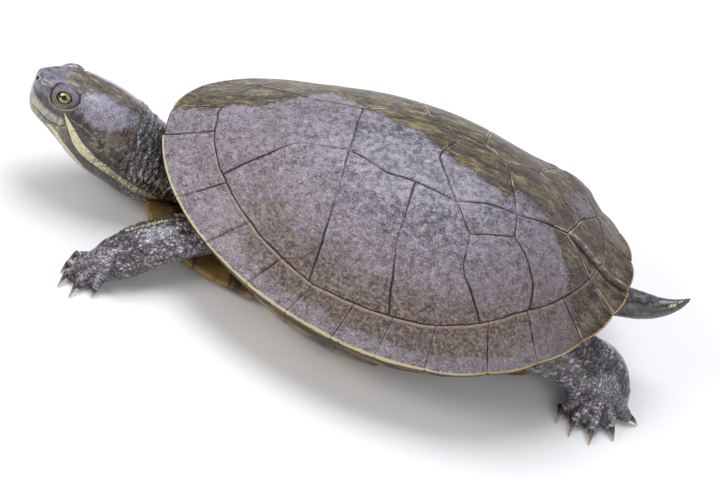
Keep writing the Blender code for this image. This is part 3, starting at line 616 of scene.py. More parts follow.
def soften(points: Sequence[Point], sharp: set[Point], wide: float = 0.016,
           tight: float = 0.004, step: float = 0.003) -> Array:
    """Round the inner corners of a border.

    Args:
        points: corners of the border.
        sharp: corners where another border ends, which are hardly rounded.
        wide: how far a free corner's rounding starts from it.
        tight: the same where another border ends.
        step: spacing of the result.
    Returns:
        The border as a finer polyline.
    """
    corners = np.array(points, float)
    line = [corners[0]]
    for key, before, here, after in zip(points[1:-1], corners, corners[1:], corners[2:]):
        reach = tight if key in sharp else wide
        ends = []
        for away in (before - here, after - here):
            length = float(np.linalg.norm(away))
            ends.append(here + away / length * min(reach, 0.45 * length))
        line += bent(ends[0], here, ends[1], np.linspace(0.0, 1.0, 6))
    fine = np.array(line + [corners[-1]])
    count = max(24, int(run_along(fine)[-1] / step))
    return resample(fine, np.linspace(0.0, 1.0, count))


@dataclass(frozen=True)
class Borders:
    """Plan borders of one plate: front and rear run outwards, inner and outer run tailwards."""

    name: str
    sides: tuple[list[Point], list[Point], list[Point], list[Point]]

    def ends(self) -> set[Point]:
        """Corners where these borders end."""
        return {border[k] for border in self.sides for k in (0, -1)}


CORNERS = {
    "v1_front_left": (-0.337, 0.145), "v1_front_right": (-0.345, -0.135),
    "v1_waist_left": (-0.236, 0.067), "v1_waist_right": (-0.24, -0.08),
    "v12_left": (-0.137, 0.062), "v12_right": (-0.139, -0.074), "v2_angle_left": (-0.048, 0.091),
    "v2_left_mid": (0.01, 0.092), "v2_angle_right": (-0.012, -0.132),
    "v23_left": (0.098, 0.099), "v23_middle": (0.034, 0.006), "v23_right": (0.064, -0.078),
    "v3_angle_right": (0.116, -0.094), "v3_left_mid": (0.16, 0.07),
    "v34_left": (0.223, 0.06), "v34_middle": (0.19, -0.01), "v34_right": (0.171, -0.068),
    "v4_left_mid": (0.274, 0.04), "v4_angle_right": (0.241, -0.107),
    "v45_left": (0.335, 0.022), "v45_right": (0.35, -0.03),
    "extra_rear": (0.234, 0.108), "extra_front": (0.148, 0.149),
    "c12_left": (-0.126, 0.15), "c23_left": (0.016, 0.208), "c34_left": (0.158, 0.205),
    "c45_left": (0.276, 0.13), "c45_bend": (0.308, 0.165),
    "c12_right": (-0.03, -0.22), "c23_right": (0.122, -0.19), "c34_right": (0.262, -0.165),
}
# Each plate's front, rear, inner and outer border, by the names of corners and arcs.
PLATES = {
    "nuchal": ("nose_right nuchal_right", "nose_left nuchal_left",
               "nose_right nose_middle nose_left", "nuchal_right nuchal_middle nuchal_left"),
    "vertebral_1": ("front_arc", "v12_right v12_left", "foot0_right v1_waist_right v12_right",
                    "foot0_left v1_waist_left v12_left"),
    "vertebral_2": ("v12_right v12_left", "v23_right v23_middle v23_left",
                    "v12_right v2_angle_right v23_right",
                    "v12_left v2_angle_left v2_left_mid v23_left"),
    "vertebral_3": ("v23_right v23_middle v23_left", "v34_right v34_middle v34_left",
                    "v23_right v3_angle_right v34_right", "v23_left v3_left_mid v34_left"),
    "vertebral_4": ("v34_right v34_middle v34_left", "v45_right v45_left",
                    "v34_right v4_angle_right v45_right", "v34_left v4_left_mid v45_left"),
    "vertebral_5": ("v45_right v45_left", "tail_arc", "v45_right tail_right",
                    "v45_left tail_left"),
    "extra_left": ("v23_left extra_front", "v34_left extra_rear", "v23_left v3_left_mid v34_left",
                   "extra_front extra_rear"),
    "costal_left_1": ("v12_left v1_waist_left foot0_left", "c12_left foot1_left",
                      "v12_left c12_left", "arc0_left"),
    "costal_left_2": ("v12_left c12_left foot1_left", "v2_left_mid c23_left foot2_left",
                      "v12_left v2_angle_left v2_left_mid", "arc1_left"),
    "costal_left_3": ("v2_left_mid c23_left foot2_left", "extra_front c34_left foot3_left",
                      "v2_left_mid v23_left extra_front", "arc2_left"),
    "costal_left_4": ("extra_front c34_left foot3_left", "extra_rear c45_left c45_bend foot4_left",
                      "extra_front extra_rear", "arc3_left"),
    "costal_left_5": ("extra_rear c45_left c45_bend foot4_left", "v45_left tail_left",
                      "extra_rear v34_left v4_left_mid v45_left", "arc4_left"),
    "costal_right_1": ("v12_right v1_waist_right foot0_right",
                       "v2_angle_right c12_right foot1_right", "v12_right v2_angle_right",
                       "arc0_right"),
    "costal_right_2": ("v2_angle_right c12_right foot1_right",
                       "v3_angle_right c23_right foot2_right",
                       "v2_angle_right v23_right v3_angle_right", "arc1_right"),
    "costal_right_3": ("v3_angle_right c23_right foot2_right",
                       "v4_angle_right c34_right foot3_right",
                       "v3_angle_right v34_right v4_angle_right", "arc2_right"),
    "costal_right_4": ("v4_angle_right c34_right foot3_right", "v45_right tail_right",
                       "v4_angle_right v45_right", "arc3_right"),
}


@dataclass(frozen=True)
class BackPlan:
    """Where the plates along the back end; feet are where costal seams meet the marginals."""

    nose_share: float = 0.995
    feet_left: tuple[tuple[int, float], ...] = ((4, -0.012), (6, -0.012), (8, -0.022), (9, 0.005))
    feet_right: tuple[tuple[int, float], ...] = ((5, -0.03), (7, -0.03), (9, -0.05))
    tail_right: float = 0.02

    def plates(self, rim: RimRun) -> list[Borders]:
        """Borders of every plate of the back.

        Args:
            rim: the rim and its seams.
        Returns:
            Nuchal, vertebral, extra and costal plates.
        """
        known = {name: [corner] for name, corner in CORNERS.items()}
        ends = {}
        for side, nuchal, feet, last in (
                (Side.LEFT, rim.nuchal_left, self.feet_left, (11, 0.0)),
                (Side.RIGHT, rim.nuchal_right, self.feet_right, (10, self.tail_right))):
            seams, word, way = rim.seams(side.value), side.word, side.value
            runs = [rim.run_at(CORNERS[f"v1_front_{word}"])]
            runs += [seams[number] + off for number, off in feet + (last,)]
            known[f"nose_{word}"] = [rim.margin(nuchal, way, self.nose_share)]
            known[f"nuchal_{word}"] = [rim.margin(nuchal, way)]
            known[f"tail_{word}"] = [rim.margin(runs[-1], way)]
            for number, run in enumerate(runs[:-1]):
                known[f"foot{number}_{word}"] = [rim.margin(run, way)]
                known[f"arc{number}_{word}"] = rim.arc(run, runs[number + 1], way)
            ends[side] = (runs[0], runs[-1])
        known["nose_middle"] = [rim.margin(0.0, 1, self.nose_share)]
        known["nuchal_middle"] = [rim.margin(0.0, 1)]
        (left_0, left_1), (right_0, right_1) = ends[Side.LEFT], ends[Side.RIGHT]
        known["front_arc"] = rim.arc(right_0, 0.0, -1)[:-1] + rim.arc(0.0, left_0, 1)
        known["tail_arc"] = rim.arc(right_1, rim.total, -1)[:-1] + rim.arc(rim.total, left_1, 1)
        return [Borders(name, tuple(sum((known[word] for word in border.split()), [])
                                    for border in borders))
                for name, borders in PLATES.items()]


@dataclass(frozen=True)
class ShellTones:
    """Where the colours of the shell lie, in the shell frame."""

    # Moss lies beyond this edge; short of it the horn keeps its lilac with the painted sky reflection.
    moss_sheen_edge: tuple[Point, ...] = ((-0.5, -0.02), (-0.32, -0.04), (-0.21, -0.14),
                                    (-0.15, -0.09), (0.01, -0.025), (0.19, 0.03),
                                    (0.22, 0.00), (0.3, 0.03), (0.35, 0.09), (0.47, 0.23))
    sheen_patch: Point = (0.345, -0.105, 0.06)
    worn: tuple[Point, ...] = ((-0.23, 0.065, 0.055), (-0.13, 0.15, 0.05), (-0.13, 0.215, 0.05))

    def fields(self, spots: Array, form: ShellForm) -> Fields:
        """How far out, how mossy, mottled and worn the surface is.

        Args:
            spots: vertices in the shell frame.
            form: the shell's surface.
        Returns:
            Fields for the finish, by name.
        """
        x, y = spots[:, 0], spots[:, 1]
        out = form.girth(x, y)[0]
        sway = grain(spots, 0.05, 21) * 0.01 + grain(spots, 0.016, 22) * 0.005
        moss = smoothstep(-0.02, 0.022, np.interp(x, *zip(*self.moss_sheen_edge)) - y + sway)
        # Less moss in one patch, where the lilac with its painted sky reflection shows.
        moss *= 1.0 - 0.75 * bell(np.hypot(x - self.sheen_patch[0], y - self.sheen_patch[1]), self.sheen_patch[2])
        low = smoothstep(0.6, 0.84, out + 1.6 * sway) * (y > 0.0)
        low *= smoothstep(-0.36, -0.2, x) * smoothstep(0.5, 0.24, x)
        low *= 1.0 - smoothstep(0.915, 0.965, out + sway)
        worn = [bell(np.hypot(x - at_x, y - at_y), reach) for at_x, at_y, reach in self.worn]
        return {"outness": out, "moss": moss, "mottle": low, "lengthwise": x,
                "worn": np.max(worn, axis=0)}


@dataclass(frozen=True)
class Crease:
    """A groove in a plate: its course in plan, depth in millimetres and half width."""

    plate: str
    line: tuple[Point, ...]
    depth: float
    width: float


@dataclass(frozen=True)
class Overlap:
    """The ridge over the tail: what lies right of it is raised and tucks over the left."""

    x: Point = (0.33, 0.375, 0.41, 0.453, 0.5)
    y: Point = (0.02, 0.023, 0.032, 0.036, 0.02)
    raised: float = 1.5
    sunk: float = 1.0

    def side(self, spots: Array, mm: float) -> Array:
        """Millimetres left of the ridge, negative to its right."""
        return (spots[:, 1] - np.interp(spots[:, 0], self.x, self.y)) * mm

    def relief(self, spots: Array, mm: float) -> Array:
        """Height of the overlap in millimetres.

        Args:
            spots: Places in the plan.
            mm: A millimetre as a fraction.

        Returns:
            Millimetres, one per place.
        """
        side = self.side(spots, mm)
        share = 0.5 - 0.5 * np.tanh(side / 0.35)
        height = self.raised * share * bell(side, 6.5) - self.sunk * (1.0 - share) * bell(side, 5.0)
        return height * smoothstep(0.315, 0.365, spots[:, 0])

    def fields(self, spots: Array, mm: float, crossed: bool) -> Fields:
        """The crease under the raised side, painted dark as shadow, and the ridge beside it, painted
        pale as highlight, on plates that the overlap crosses.

        Args:
            spots: Places in the plan.
            mm: A millimetre as a fraction.
            crossed: Whether the overlap crosses this plate.

        Returns:
            Shares by name.
        """
        side = self.side(spots, mm)
        here = smoothstep(0.315, 0.345, spots[:, 0]) * crossed
        return {"crease": bell(side, 0.8, 0.9) * here, "crest": bell(side, 0.8, -0.7) * here}


CREASES = (
    Crease("costal_left_2", ((-0.048, 0.091, 0.0), (-0.05, 0.14, 0.0), (-0.058, 0.2, 0.0)),
           0.34, 0.9),
    Crease("vertebral_1", ((-0.381, 0.071, 0.0), (-0.36, 0.056, 0.0), (-0.335, 0.039, 0.0)),
           0.3, 0.9),
    Crease("vertebral_1", ((-0.223, 0.0, 0.0), (-0.144, 0.0, 0.0)), 0.16, 1.4),
    Crease("costal_left_5", ((0.319, 0.161, 0.0), (0.345, 0.158, 0.0), (0.37, 0.156, 0.0)),
           0.45, 0.7),
    Crease("vertebral_2", ((-0.12, -0.006, 0.0), (0.02, -0.004, 0.0)), -0.22, 3.5),
    Crease("vertebral_3", ((0.05, 0.004, 0.0), (0.19, -0.006, 0.0)), -0.22, 3.5),
    Crease("vertebral_4", ((0.2, -0.008, 0.0), (0.33, 0.0, 0.0)), -0.3, 3.5),
)


@dataclass(frozen=True)
class ShellBack:
    """The plates of the back, with the marginals and the bone under them."""

    form: ShellForm
    finishes: Finishes
    fine: bool
    relief: PlateRelief = PlateRelief()
    tones: ShellTones = ShellTones()
    overlap: Overlap = Overlap()
    far: float = 30.0
    swollen: Point = (0.318, -0.175, 0.06)
    bone_under: float = 0.0044
    bone_rays: int = 160

    @property
    def rim(self) -> RimRun:
        """The rim and its seams."""
        return RimRun(self.form)

    @property
    def steps(self) -> int:
        """How many steps a plate has each way."""
        return 72 if self.fine else 40

    def surface(self, borders: Borders, sharp: set[Point]) -> Array:
        """Plan grid of a plate, filled between its softened borders.

        Args:
            borders: The plate's four borders.
            sharp: Corners that stay sharp.

        Returns:
            Points in the plan.
        """
        shares = crowded(self.steps)
        a, b, c, d = (resample(self.rim.waver(soften(line, sharp)), shares)
                      for line in borders.sides)
        u, v = shares[:, None, None], shares[None, :, None]
        ruled = (1 - v) * a[:, None] + v * b[:, None] + (1 - u) * c[None] + u * d[None]
        corner = (1 - u) * (1 - v) * c[0] + (1 - u) * v * c[-1] + u * (1 - v) * d[0] + u * v * d[-1]
        return ruled - corner

    def lift(self, name: str, spots: Array, sides: list[Array]) -> Array:
        """Extra relief of the rear plates and along the creases, in millimetres.

        Args:
            name: the plate.
            spots: its vertices in the shell frame.
            sides: distances to the front, rear, inner and outer borders in millimetres.
        Returns:
            Height of the extra relief.
        """
        extra = np.zeros(len(spots))
        if name == "vertebral_5":
            extra += self.overlap.relief(spots, self.form.mm)
        if name == "vertebral_4":
            extra += 0.5 * bell(sides[3], 6.0) * smoothstep(0.26, 0.33, spots[:, 0])
        if name in ("costal_right_4", "costal_right_3"):
            x, y, reach = self.swollen
            away = np.hypot(spots[:, 0] - x, spots[:, 1] - y)
            extra += 1.7 * bell(away, reach) * smoothstep(0.0, 5.0, np.min(sides, axis=0))
        for crease in CREASES:
            if crease.plate == name:
                away, run = line_distance(spots * (1.0, 1.0, 0.0), crease.line)
                total = run_along(np.array(crease.line))[-1]
                fade = 1.0 - smoothstep(0.55 * total, total, run)
                extra -= crease.depth * fade * bell(away * self.form.mm, crease.width)
        return extra

    def dress(self, obj: Piece, points: Array, fields: Fields,
              node: str) -> None:
        """Store a plate's fields and settle it.

        Args:
            obj: the plate.
            points: its vertices in metres.
            fields: its own fields.
            node: the CAD node that it stands for.
        """
        spots = self.form.local(points)
        crossed = node == "vertebral_5" or node.endswith("_12")
        store(obj.data, fields | self.tones.fields(spots, self.form)
              | self.overlap.fields(spots, self.form.mm, crossed))
        settle(obj, self.finishes.shell, [node])

    def build_plate(self, borders: Borders, sharp: set[Point]) -> None:
        """One horny plate, with rolled edges, growth rings and a closed underside.

        Args:
            borders: its borders.
            sharp: corners that stay crisp.
        """
        form, relief = self.form, self.relief
        plan = self.surface(borders, sharp)
        rows, columns = plan.shape[:2]
        base = np.concatenate([plan, form.dome(plan[..., 0], plan[..., 1])[..., None]], axis=2)
        place = form.world(base)
        normal = outward(place, rows // 2)
        flat = place.reshape(-1, 3)
        lines = (place[:, 0], place[:, -1], place[0, :], place[-1, :])
        sides = [line_distance(flat, line)[0] / MM for line in lines]
        edge = np.min(sides, axis=0)
        height = relief.height(edge, flat / MM) + self.lift(borders.name, base.reshape(-1, 3), sides)
        centre = flat.mean(axis=0)
        inward = centre - flat
        inward -= (inward * normal).sum(axis=1)[:, None] * normal
        inward /= np.linalg.norm(inward, axis=1)[:, None]
        top = flat + normal * height[:, None] * MM
        top += inward * np.exp(-edge / 0.4)[:, None] * 0.5 * relief.slit * MM
        grid = np.arange(rows * columns).reshape(rows, columns)
        loop = np.concatenate([grid[0, :-1], grid[:-1, -1], grid[-1, :0:-1], grid[:0:-1, 0]])
        skirt = top[loop] - normal[loop] * relief.thickness * MM + inward[loop] * 0.6 * MM
        faces = grid_faces(grid)
        start, count = rows * columns, len(loop)
        for k in range(count):
            n = (k + 1) % count
            faces.append((loop[k], start + k, start + n, loop[n]))
            faces.append((start + k, start + count, start + n))
        below = centre - np.mean(normal, axis=0) * 4.5 * MM
        points = np.concatenate([top, skirt, [below]])
        obj = mesh_piece(f"plate_{borders.name}", points, faces)
        hem = np.zeros(count + 1)
        outer = np.concatenate([sides[3], hem])
        if not borders.name.startswith("costal"):
            outer = np.full(len(points), self.far)
        fields = {"edge": np.minimum(np.concatenate([edge, hem]), self.far),
                  "ridge": np.minimum(outer, self.far), "lip": np.zeros(len(points))}
        self.dress(obj, points, fields, borders.name)

    def marginal_profile(self, run: float, side: int, flare: float) -> Array:
        """Fine cross section of the rim along one ray, from the costal seam round to the inside.

        Args:
            run: the rim run of the ray.
            side: +1 left, -1 right.
            flare: how far the rim stands out beyond the egg shape.
        Returns:
            Shell frame points, an open line.
        """
        form, rim = self.form, self.rim
        start = float(rim.margin_share(run))
        count = self.steps // 2
        shares = start + (0.992 - start) * crowded(count, 0.6)
        runs = np.full(count + 1, run)
        top = rim.ray(runs, side, shares)
        grown = flare * smoothstep(start, 1.0, shares)
        top = top + (rim.ray(runs, side, shares + 1.0) - top) * grown[:, None]
        line = list(np.column_stack([rim.waver(top), form.dome(top[:, 0], top[:, 1])]))
        corner = rim.ray(run, side, 1.0 + flare)
        edge = float(form.rim_height(corner[0]))
        low = rim.ray(run, side, 0.985 + flare)
        inner = rim.ray(run, side, start + 0.02)
        crest = np.array([*corner, edge])
        down = np.array([*low, edge - float(form.lip_depth(corner[0]))])
        under = np.array([*inner, float(form.dome(*inner)) - form.plate])
        side_face = crest + (down - crest) * 0.22
        near_low = crest + (down - crest) * 0.84
        past = down + (under - down) * 0.05
        line += bent(line[-1], crest, side_face, np.linspace(0.15, 1.0, 6))
        line += [side_face + (near_low - side_face) * t for t in np.linspace(0.2, 1.0, 6)]
        line += bent(near_low, down, past, np.linspace(0.25, 1.0, 4))
        line += [past + (under - past) * t for t in np.linspace(0.12, 1.0, 8)]
        return np.array(line)

    def build_marginal(self, side: Side, number: int) -> None:
        """One plate of the rim.

        Args:
            side: the animal's left or right.
            number: the plate's number, 0 at the front and 11 at the tail.
        """
        form = self.form
        a, b = self.rim.seams(side.value)[number:number + 2]
        profiles = []
        for t in crowded(max(24, int(self.steps * 0.66)), 0.75):
            bulge = 0.01 * math.sin(math.pi * t) if number >= 7 else 0.0
            profiles.append(self.marginal_profile(a + (b - a) * t, side.value, bulge))
        base = np.stack(profiles, axis=1)
        place = form.world(base)
        rows, wide = place.shape[:2]
        normal = outward(place, 2)
        flat, spots = place.reshape(-1, 3), base.reshape(-1, 3)
        sides = [line_distance(flat, line)[0] / MM
                 for line in (place[:, 0], place[:, -1], place[0, :])]
        edge = np.minimum(sides[0], sides[1])
        height = self.relief.height(np.minimum(edge, sides[2] + 0.4), flat / MM)
        ridge = 1.0 - smoothstep(0.24, 0.34, np.abs(spots[:, 0] + 0.01))
        ridge *= side is Side.LEFT
        height += (0.12 + 0.34 * ridge) * bell(sides[2], 0.8, 1.2)
        row_share = np.repeat(np.arange(rows) / (rows - 1.0), wide)
        height *= 1.0 - smoothstep(0.72, 0.85, row_share)
        if number == 11:
            tuck = self.overlap.relief(spots, form.mm)
            height += tuck * (1.0 - smoothstep(0.45, 0.62, row_share))
        along = place[:, -1] - place[:, 0]
        along /= np.linalg.norm(along, axis=1)[:, None]
        share = np.exp(-sides[0] / 0.4) - np.exp(-sides[1] / 0.4)
        points = flat + normal * height[:, None] * MM
        points += np.repeat(along, wide, axis=0) * share[:, None] * 0.5 * self.relief.slit * MM
        grid = np.arange(rows * wide).reshape(rows, wide)
        faces = grid_faces(np.concatenate([grid, grid[:1]])) + [grid[:, 0], grid[::-1, -1]]
        name = f"marginal_{side.word}_{number + 1}"
        obj = mesh_piece(f"plate_{name}", points, faces)
        from_crest = (np.arange(rows) - self.steps // 2) / 6.0
        fields = {"edge": np.minimum(edge, self.far),
                  "ridge": np.minimum(sides[2], self.far) + 40.0,
                  "lip": np.repeat(from_crest, wide), "seam_ridge": ridge}
        self.dress(obj, points, fields, name)

    def build_bone(self) -> None:
        """The bony shell that shows at the bottom of the seams, near-black as painted shade in the gaps
        between plates.
        """
        form, rays = self.form, self.bone_rays
        shares = np.concatenate([np.linspace(0.05, 0.92, 30), [0.9, 0.8, 0.7]])
        count = len(shares)
        points = []
        for run, side in self.rim.rays(rays):
            plan = self.rim.ray(np.full(count, run), side, shares)
            dome = form.dome(plan[:, 0], plan[:, 1])
            height = dome - self.bone_under
            height[30:] = np.minimum(dome[29] - 0.0105, height[30:] - 0.006)
            points.append(np.column_stack([plan, height]))
        points.append([(form.crown, 0.0, form.height - down) for down in (self.bone_under, 0.03)])
        faces = []
        for k in range(rays):
            n = (k + 1) % rays
            faces.append((rays * count, k * count, n * count))
            faces.append((rays * count + 1, n * count + count - 1, k * count + count - 1))
            for i in range(count - 1):
                faces.append((k * count + i, k * count + i + 1, n * count + i + 1, n * count + i))
        obj = mesh_piece("shell_bone_gap_shade", form.world(np.concatenate(points)), faces)
        settle(obj, self.finishes.bone)

    def build(self) -> None:
        """All plates, marginals and the bone."""
        plates = BackPlan().plates(self.rim)
        sharp = set().union(*(borders.ends() for borders in plates))
        for borders in plates:
            self.build_plate(borders, sharp)
        for side in Side:
            for number in range(12):
                self.build_marginal(side, number)
        self.build_bone()


# ---- head and limbs
@dataclass(frozen=True)
class HeadForm:
    """The head's own frame, its stations and the eyes, in fractions of the shell length."""

    base: Point = (-0.577, 0.073)
    yaw: float = 8.0
    stations: tuple[Point, ...] = (
        (0.000, -0.004, 0.091, 0.088, 0.092, 2.2),
        (0.034, 0.008, 0.09, 0.087, 0.092, 2.3),
        (0.064, 0.019, 0.084, 0.083, 0.087, 2.4),
        (0.092, 0.032, 0.074, 0.076, 0.08, 2.6),
        (0.118, 0.043, 0.062, 0.07, 0.071, 2.8),
        (0.144, 0.051, 0.051, 0.061, 0.064, 2.7),
        (0.168, 0.056, 0.04, 0.051, 0.057, 2.5),
        (0.184, 0.06, 0.03, 0.041, 0.047, 2.4),
        (0.192, 0.062, 0.017, 0.028, 0.032, 2.2),
    )
    neck: tuple[Point, ...] = (
        (-0.38, 0.03, -0.035, 0.082, 0.05, 0.06),
        (-0.44, 0.042, -0.038, 0.088, 0.042, 0.07),
        (-0.48, 0.052, -0.038, 0.092, 0.045, 0.078),
        (-0.503, 0.059, -0.033, 0.094, 0.06, 0.086),
        (-0.528, 0.064, -0.026, 0.094, 0.078, 0.09),
        (-0.552, 0.069, -0.015, 0.092, 0.086, 0.092),
    )
    eye: Point = (0.1231, 0.0337, 0.088)
    eye_radius: float = 0.0225
    eye_axis: Point = (0.15, 0.83, 0.53)
    opening: Point = (0.0162, 0.0128)
    cad_eye: Point = (0.126, 0.041, 0.088)

    def place(self, spots: Array) -> Array:
        """Head frame points to the shell frame.

        Args:
            spots: Head frame rows.

        Returns:
            Shell frame rows.
        """
        spots = np.asarray(spots, float)
        c, s = math.cos(math.radians(self.yaw)), math.sin(math.radians(self.yaw))
        return np.stack([self.base[0] - spots[..., 0] * c + spots[..., 1] * s,
                         self.base[1] + spots[..., 0] * s + spots[..., 1] * c,
                         spots[..., 2]], axis=-1)

    def read(self, spots: Array) -> Array:
        """Shell frame points to the head frame: ahead, left, height.

        Args:
            spots: Shell frame rows.

        Returns:
            Head frame rows.
        """
        c, s = math.cos(math.radians(self.yaw)), math.sin(math.radians(self.yaw))
        rx, ry = spots[..., 0] - self.base[0], spots[..., 1] - self.base[1]
        return np.stack([-rx * c + ry * s, rx * s + ry * c, spots[..., 2]], axis=-1)

    def level(self, ahead: Array) -> Array:
        """Height of the head's middle line at a distance ahead."""
        table = np.array(self.stations)
        return np.interp(ahead, table[:, 0], table[:, 1])

    def eye_frame(self, side: int) -> tuple[Array, Array, Array, Array]:
        """Centre, outward axis, forward and upward directions of an eye, in the head frame.

        Args:
            side: 1 for the left, -1 for the right.

        Returns:
            Centre, outward, forward and upward.
        """
        flip = np.array([1.0, side, 1.0])
        centre = np.array(self.eye) * flip
        axis = np.array(self.eye_axis) * flip
        axis /= np.linalg.norm(axis)
        forward = np.array([1.0, 0.0, 0.0]) - axis * axis[0]
        forward /= np.linalg.norm(forward)
        upward = np.cross(forward, axis) * -side
        upward *= math.copysign(1.0, upward[2])
        return centre, axis, forward, upward


def superellipse(centre: Array, wide: Array, tall: Array, size: Point,
                 around: int = 40) -> Array:
    """A closed ring.

    Args:
        centre: its middle.
        wide: unit direction of its width.
        tall: unit direction of its height.
        size: half width, height above, depth below and power.
        around: number of points.
    Returns:
        The ring's points.
    """
    angle = 2.0 * np.pi * (np.arange(around) + 0.5) / around
    c, s = np.cos(angle), np.sin(angle)
    u = np.sign(c) * np.abs(c) ** (2.0 / size[3]) * size[0]
    v = np.sign(s) * np.abs(s) ** (2.0 / size[3]) * np.where(s > 0, size[1], size[2])
    return centre + u[:, None] * wide + v[:, None] * tall


class Lofts:
    """Overlapping closed lofts that are melted into one skin."""

    def __init__(self) -> None:
        """Start with nothing."""
        self.points: list[Array] = []
        self.faces: list[tuple[int, ...]] = []
        self.count = 0

    def add(self, points: Array, faces: Sequence[Sequence[int]]) -> None:
        """Take in one closed shape.

        Args:
            points: Corners, one row each.
            faces: Corner numbers of each face.
        """
        self.faces += [tuple(int(i) + self.count for i in face) for face in faces]
        self.points.append(points)
        self.count += len(points)

    def rings(self, rings: Sequence[Array]) -> None:
        """Take in a loft through equal rings, closed at both ends.

        Args:
            rings: Rings with the same number of points.
        """
        around = len(rings[0])
        faces = [tuple(range(around)),
                 tuple((len(rings) - 1) * around + i for i in range(around))[::-1]]
        for k in range(len(rings) - 1):
            for i in range(around):
                j = (i + 1) % around
                faces.append((k * around + i, (k + 1) * around + i, (k + 1) * around + j,
                              k * around + j))
        self.add(np.concatenate(rings), faces)

    def limb(self, stations: Sequence[tuple[Point, float, float]], hint: Point,
             power: float = 2.2, samples: int = 22) -> None:
        """Take in a limb along its own path, from (middle, half width, half height) stations.

        Args:
            stations: Middle, half width and half height of each ring.
            hint: A direction that the back of the limb faces.
            power: Roundness of the rings, 2 for an ellipse.
            samples: Points in a ring.
        """
        rows = [tuple(s[0]) + (s[1], s[2]) for s in stations]
        table = flowing(rows, samples)
        rings = []
        for k in range(samples):
            ahead = table[min(k + 1, samples - 1), :3] - table[max(k - 1, 0), :3]
            ahead /= np.linalg.norm(ahead)
            wide = np.cross(ahead, np.array(hint, float))
            wide /= np.linalg.norm(wide)
            tall = np.cross(wide, ahead)
            size = (table[k, 3], table[k, 4], table[k, 4], power)
            rings.append(superellipse(table[k, :3], wide, tall, size, 28))
        self.rings(rings)


def thousandths(table: object) -> object:
    """A table of thousandths of the shell's length, however nested, as fractions."""
    return tuple(thousandths(part) for part in table) if isinstance(table, tuple) else table / 1000.0


@dataclass(frozen=True)
class Foot:
    """A leg: limb stations, which way its back faces, palm, toe and claw ends, toe half width."""

    name: str
    limb: tuple
    hint: Point
    palm: Point
    toes: tuple
    toe: float


FEET = (
    Foot("front_left", *thousandths(((((-290, 138, -43), 50, 42), ((-335, 183, -47), 50, 36),
        ((-376, 217, -53), 50, 31), ((-425, 258, -65), 52, 31), ((-463, 298, -81), 53, 29),
        ((-496, 328, -100), 50, 22), ((-508, 338, -116), 40, 12)), (-250, 350, 900),
        (-489, 322, -108), (((-553, 314, -121), (-565, 336, -132)), ((-560, 346, -123),
        (-567, 363, -132)), ((-554, 371, -124), (-560, 404, -132)), ((-527, 386, -124),
        (-531, 418, -132)), ((-491, 381, -124), (-489, 394, -130))), 13.5))),
    Foot("front_right", *thousandths(((((-285, -120, -40), 48, 40), ((-312, -172, -42), 48, 37),
        ((-324, -216, -46), 48, 34), ((-328, -256, -58), 48, 30), ((-326, -286, -78), 48, 26),
        ((-324, -303, -101), 45, 21), ((-324, -314, -118), 36, 15)), (-100, -400, 900),
        (-324, -302, -114), (((-364, -316, -124), (-388, -324, -132)), ((-354, -340, -124),
        (-372, -360, -132)), ((-331, -350, -124), (-336, -378, -132)), ((-305, -346, -124),
        (-296, -370, -132)), ((-285, -328, -124), (-266, -340, -132))), 13.5))),
    Foot("hind_left", *thousandths(((((290, 112, -30), 66, 62), ((365, 118, -30), 62, 56),
        ((427, 112, -40), 61, 46), ((474, 106, -50), 66, 46), ((513, 105, -74), 77, 43),
        ((534, 120, -102), 87, 32), ((540, 148, -118), 80, 19)), (250, 450, 850), (540, 122, -112),
        (((470, 180, -122), (471, 210, -132)), ((501, 199, -122), (503, 232, -132)),
        ((542, 202, -122), (548, 232, -132)), ((580, 172, -122), (594, 194, -132)),
        ((611, 125, -122), (634, 124, -132))), 16.5))),
    Foot("hind_right", *thousandths(((((290, -115, -30), 66, 62), ((345, -165, -30), 66, 56),
        ((385, -205, -40), 65, 50), ((412, -235, -60), 66, 45), ((428, -258, -85), 68, 38),
        ((436, -280, -106), 68, 29), ((440, -300, -119), 62, 18)), (200, -450, 850),
        (438, -285, -112), (((382, -330, -122), (370, -352, -132)), ((412, -356, -122),
        (408, -386, -132)), ((449, -362, -122), (456, -392, -132)), ((484, -342, -122),
        (504, -364, -132)), ((506, -300, -122), (530, -306, -132))), 16.5))),
)
TAIL = thousandths(((380, 0, 10, 46), (450, -1, 40, 40), (495, -4, 50, 33), (535, -11, 53, 30),
    (572, -20, 58, 23), (600, -27, 71, 15.5), (618, -33, 86, 9), (630, -38, 101, 3)))
SOLE_LEVEL = -0.1346
TOE_REACH = 0.12
LIMB_END = (0.86, 0.74)
TOE_SIZES = (0.78, 0.96, 1.0, 0.94, 0.8)


@dataclass(frozen=True)
class Stripe:
    """A marking along a line: head or shell frame corners with half widths in millimetres."""

    corners: tuple[Point, ...]
    widths: Point
    on_head: bool = True


MAIN_STRIPE = Stripe(thousandths(((117, 60, 70), (107, 66, 58), (91, 74, 41), (72, 80, 21),
    (54, 85, 11), (27, 89, -3), (-3, 90, -18), (-27, 90, -28), (-55, 90, -39), (-85, 84, -53),
    (-112, 73, -67))), (0.1, 1.0, 2.2, 2.9, 3.0, 2.5, 2.3, 2.1, 2.1, 1.9, 1.6))
JAW_STRIPE = Stripe(thousandths(((150, 40, 14), (132, 52, 16), (120, 56, 8), (108, 60, -4),
    (94, 66, -13), (71, 72, -26), (29, 70, -57), (-20, 60, -80))),
    (0.4, 1.3, 1.9, 2.3, 2.3, 2.1, 1.9, 1.4))
ARM_STRIPE = Stripe(thousandths(((-480, 264, -52), (-458, 251, -41), (-433, 232, -33),
    (-409, 212, -27), (-386, 201, -21))), (0.9, 1.1, 1.2, 1.0, 0.7), False)
TAIL_STRIPE = Stripe(thousandths(((539, 10, 66), (570, -3, 67), (596, -16, 78), (615, -29, 92))),
    (0.5, 0.7, 0.8, 0.5), False)
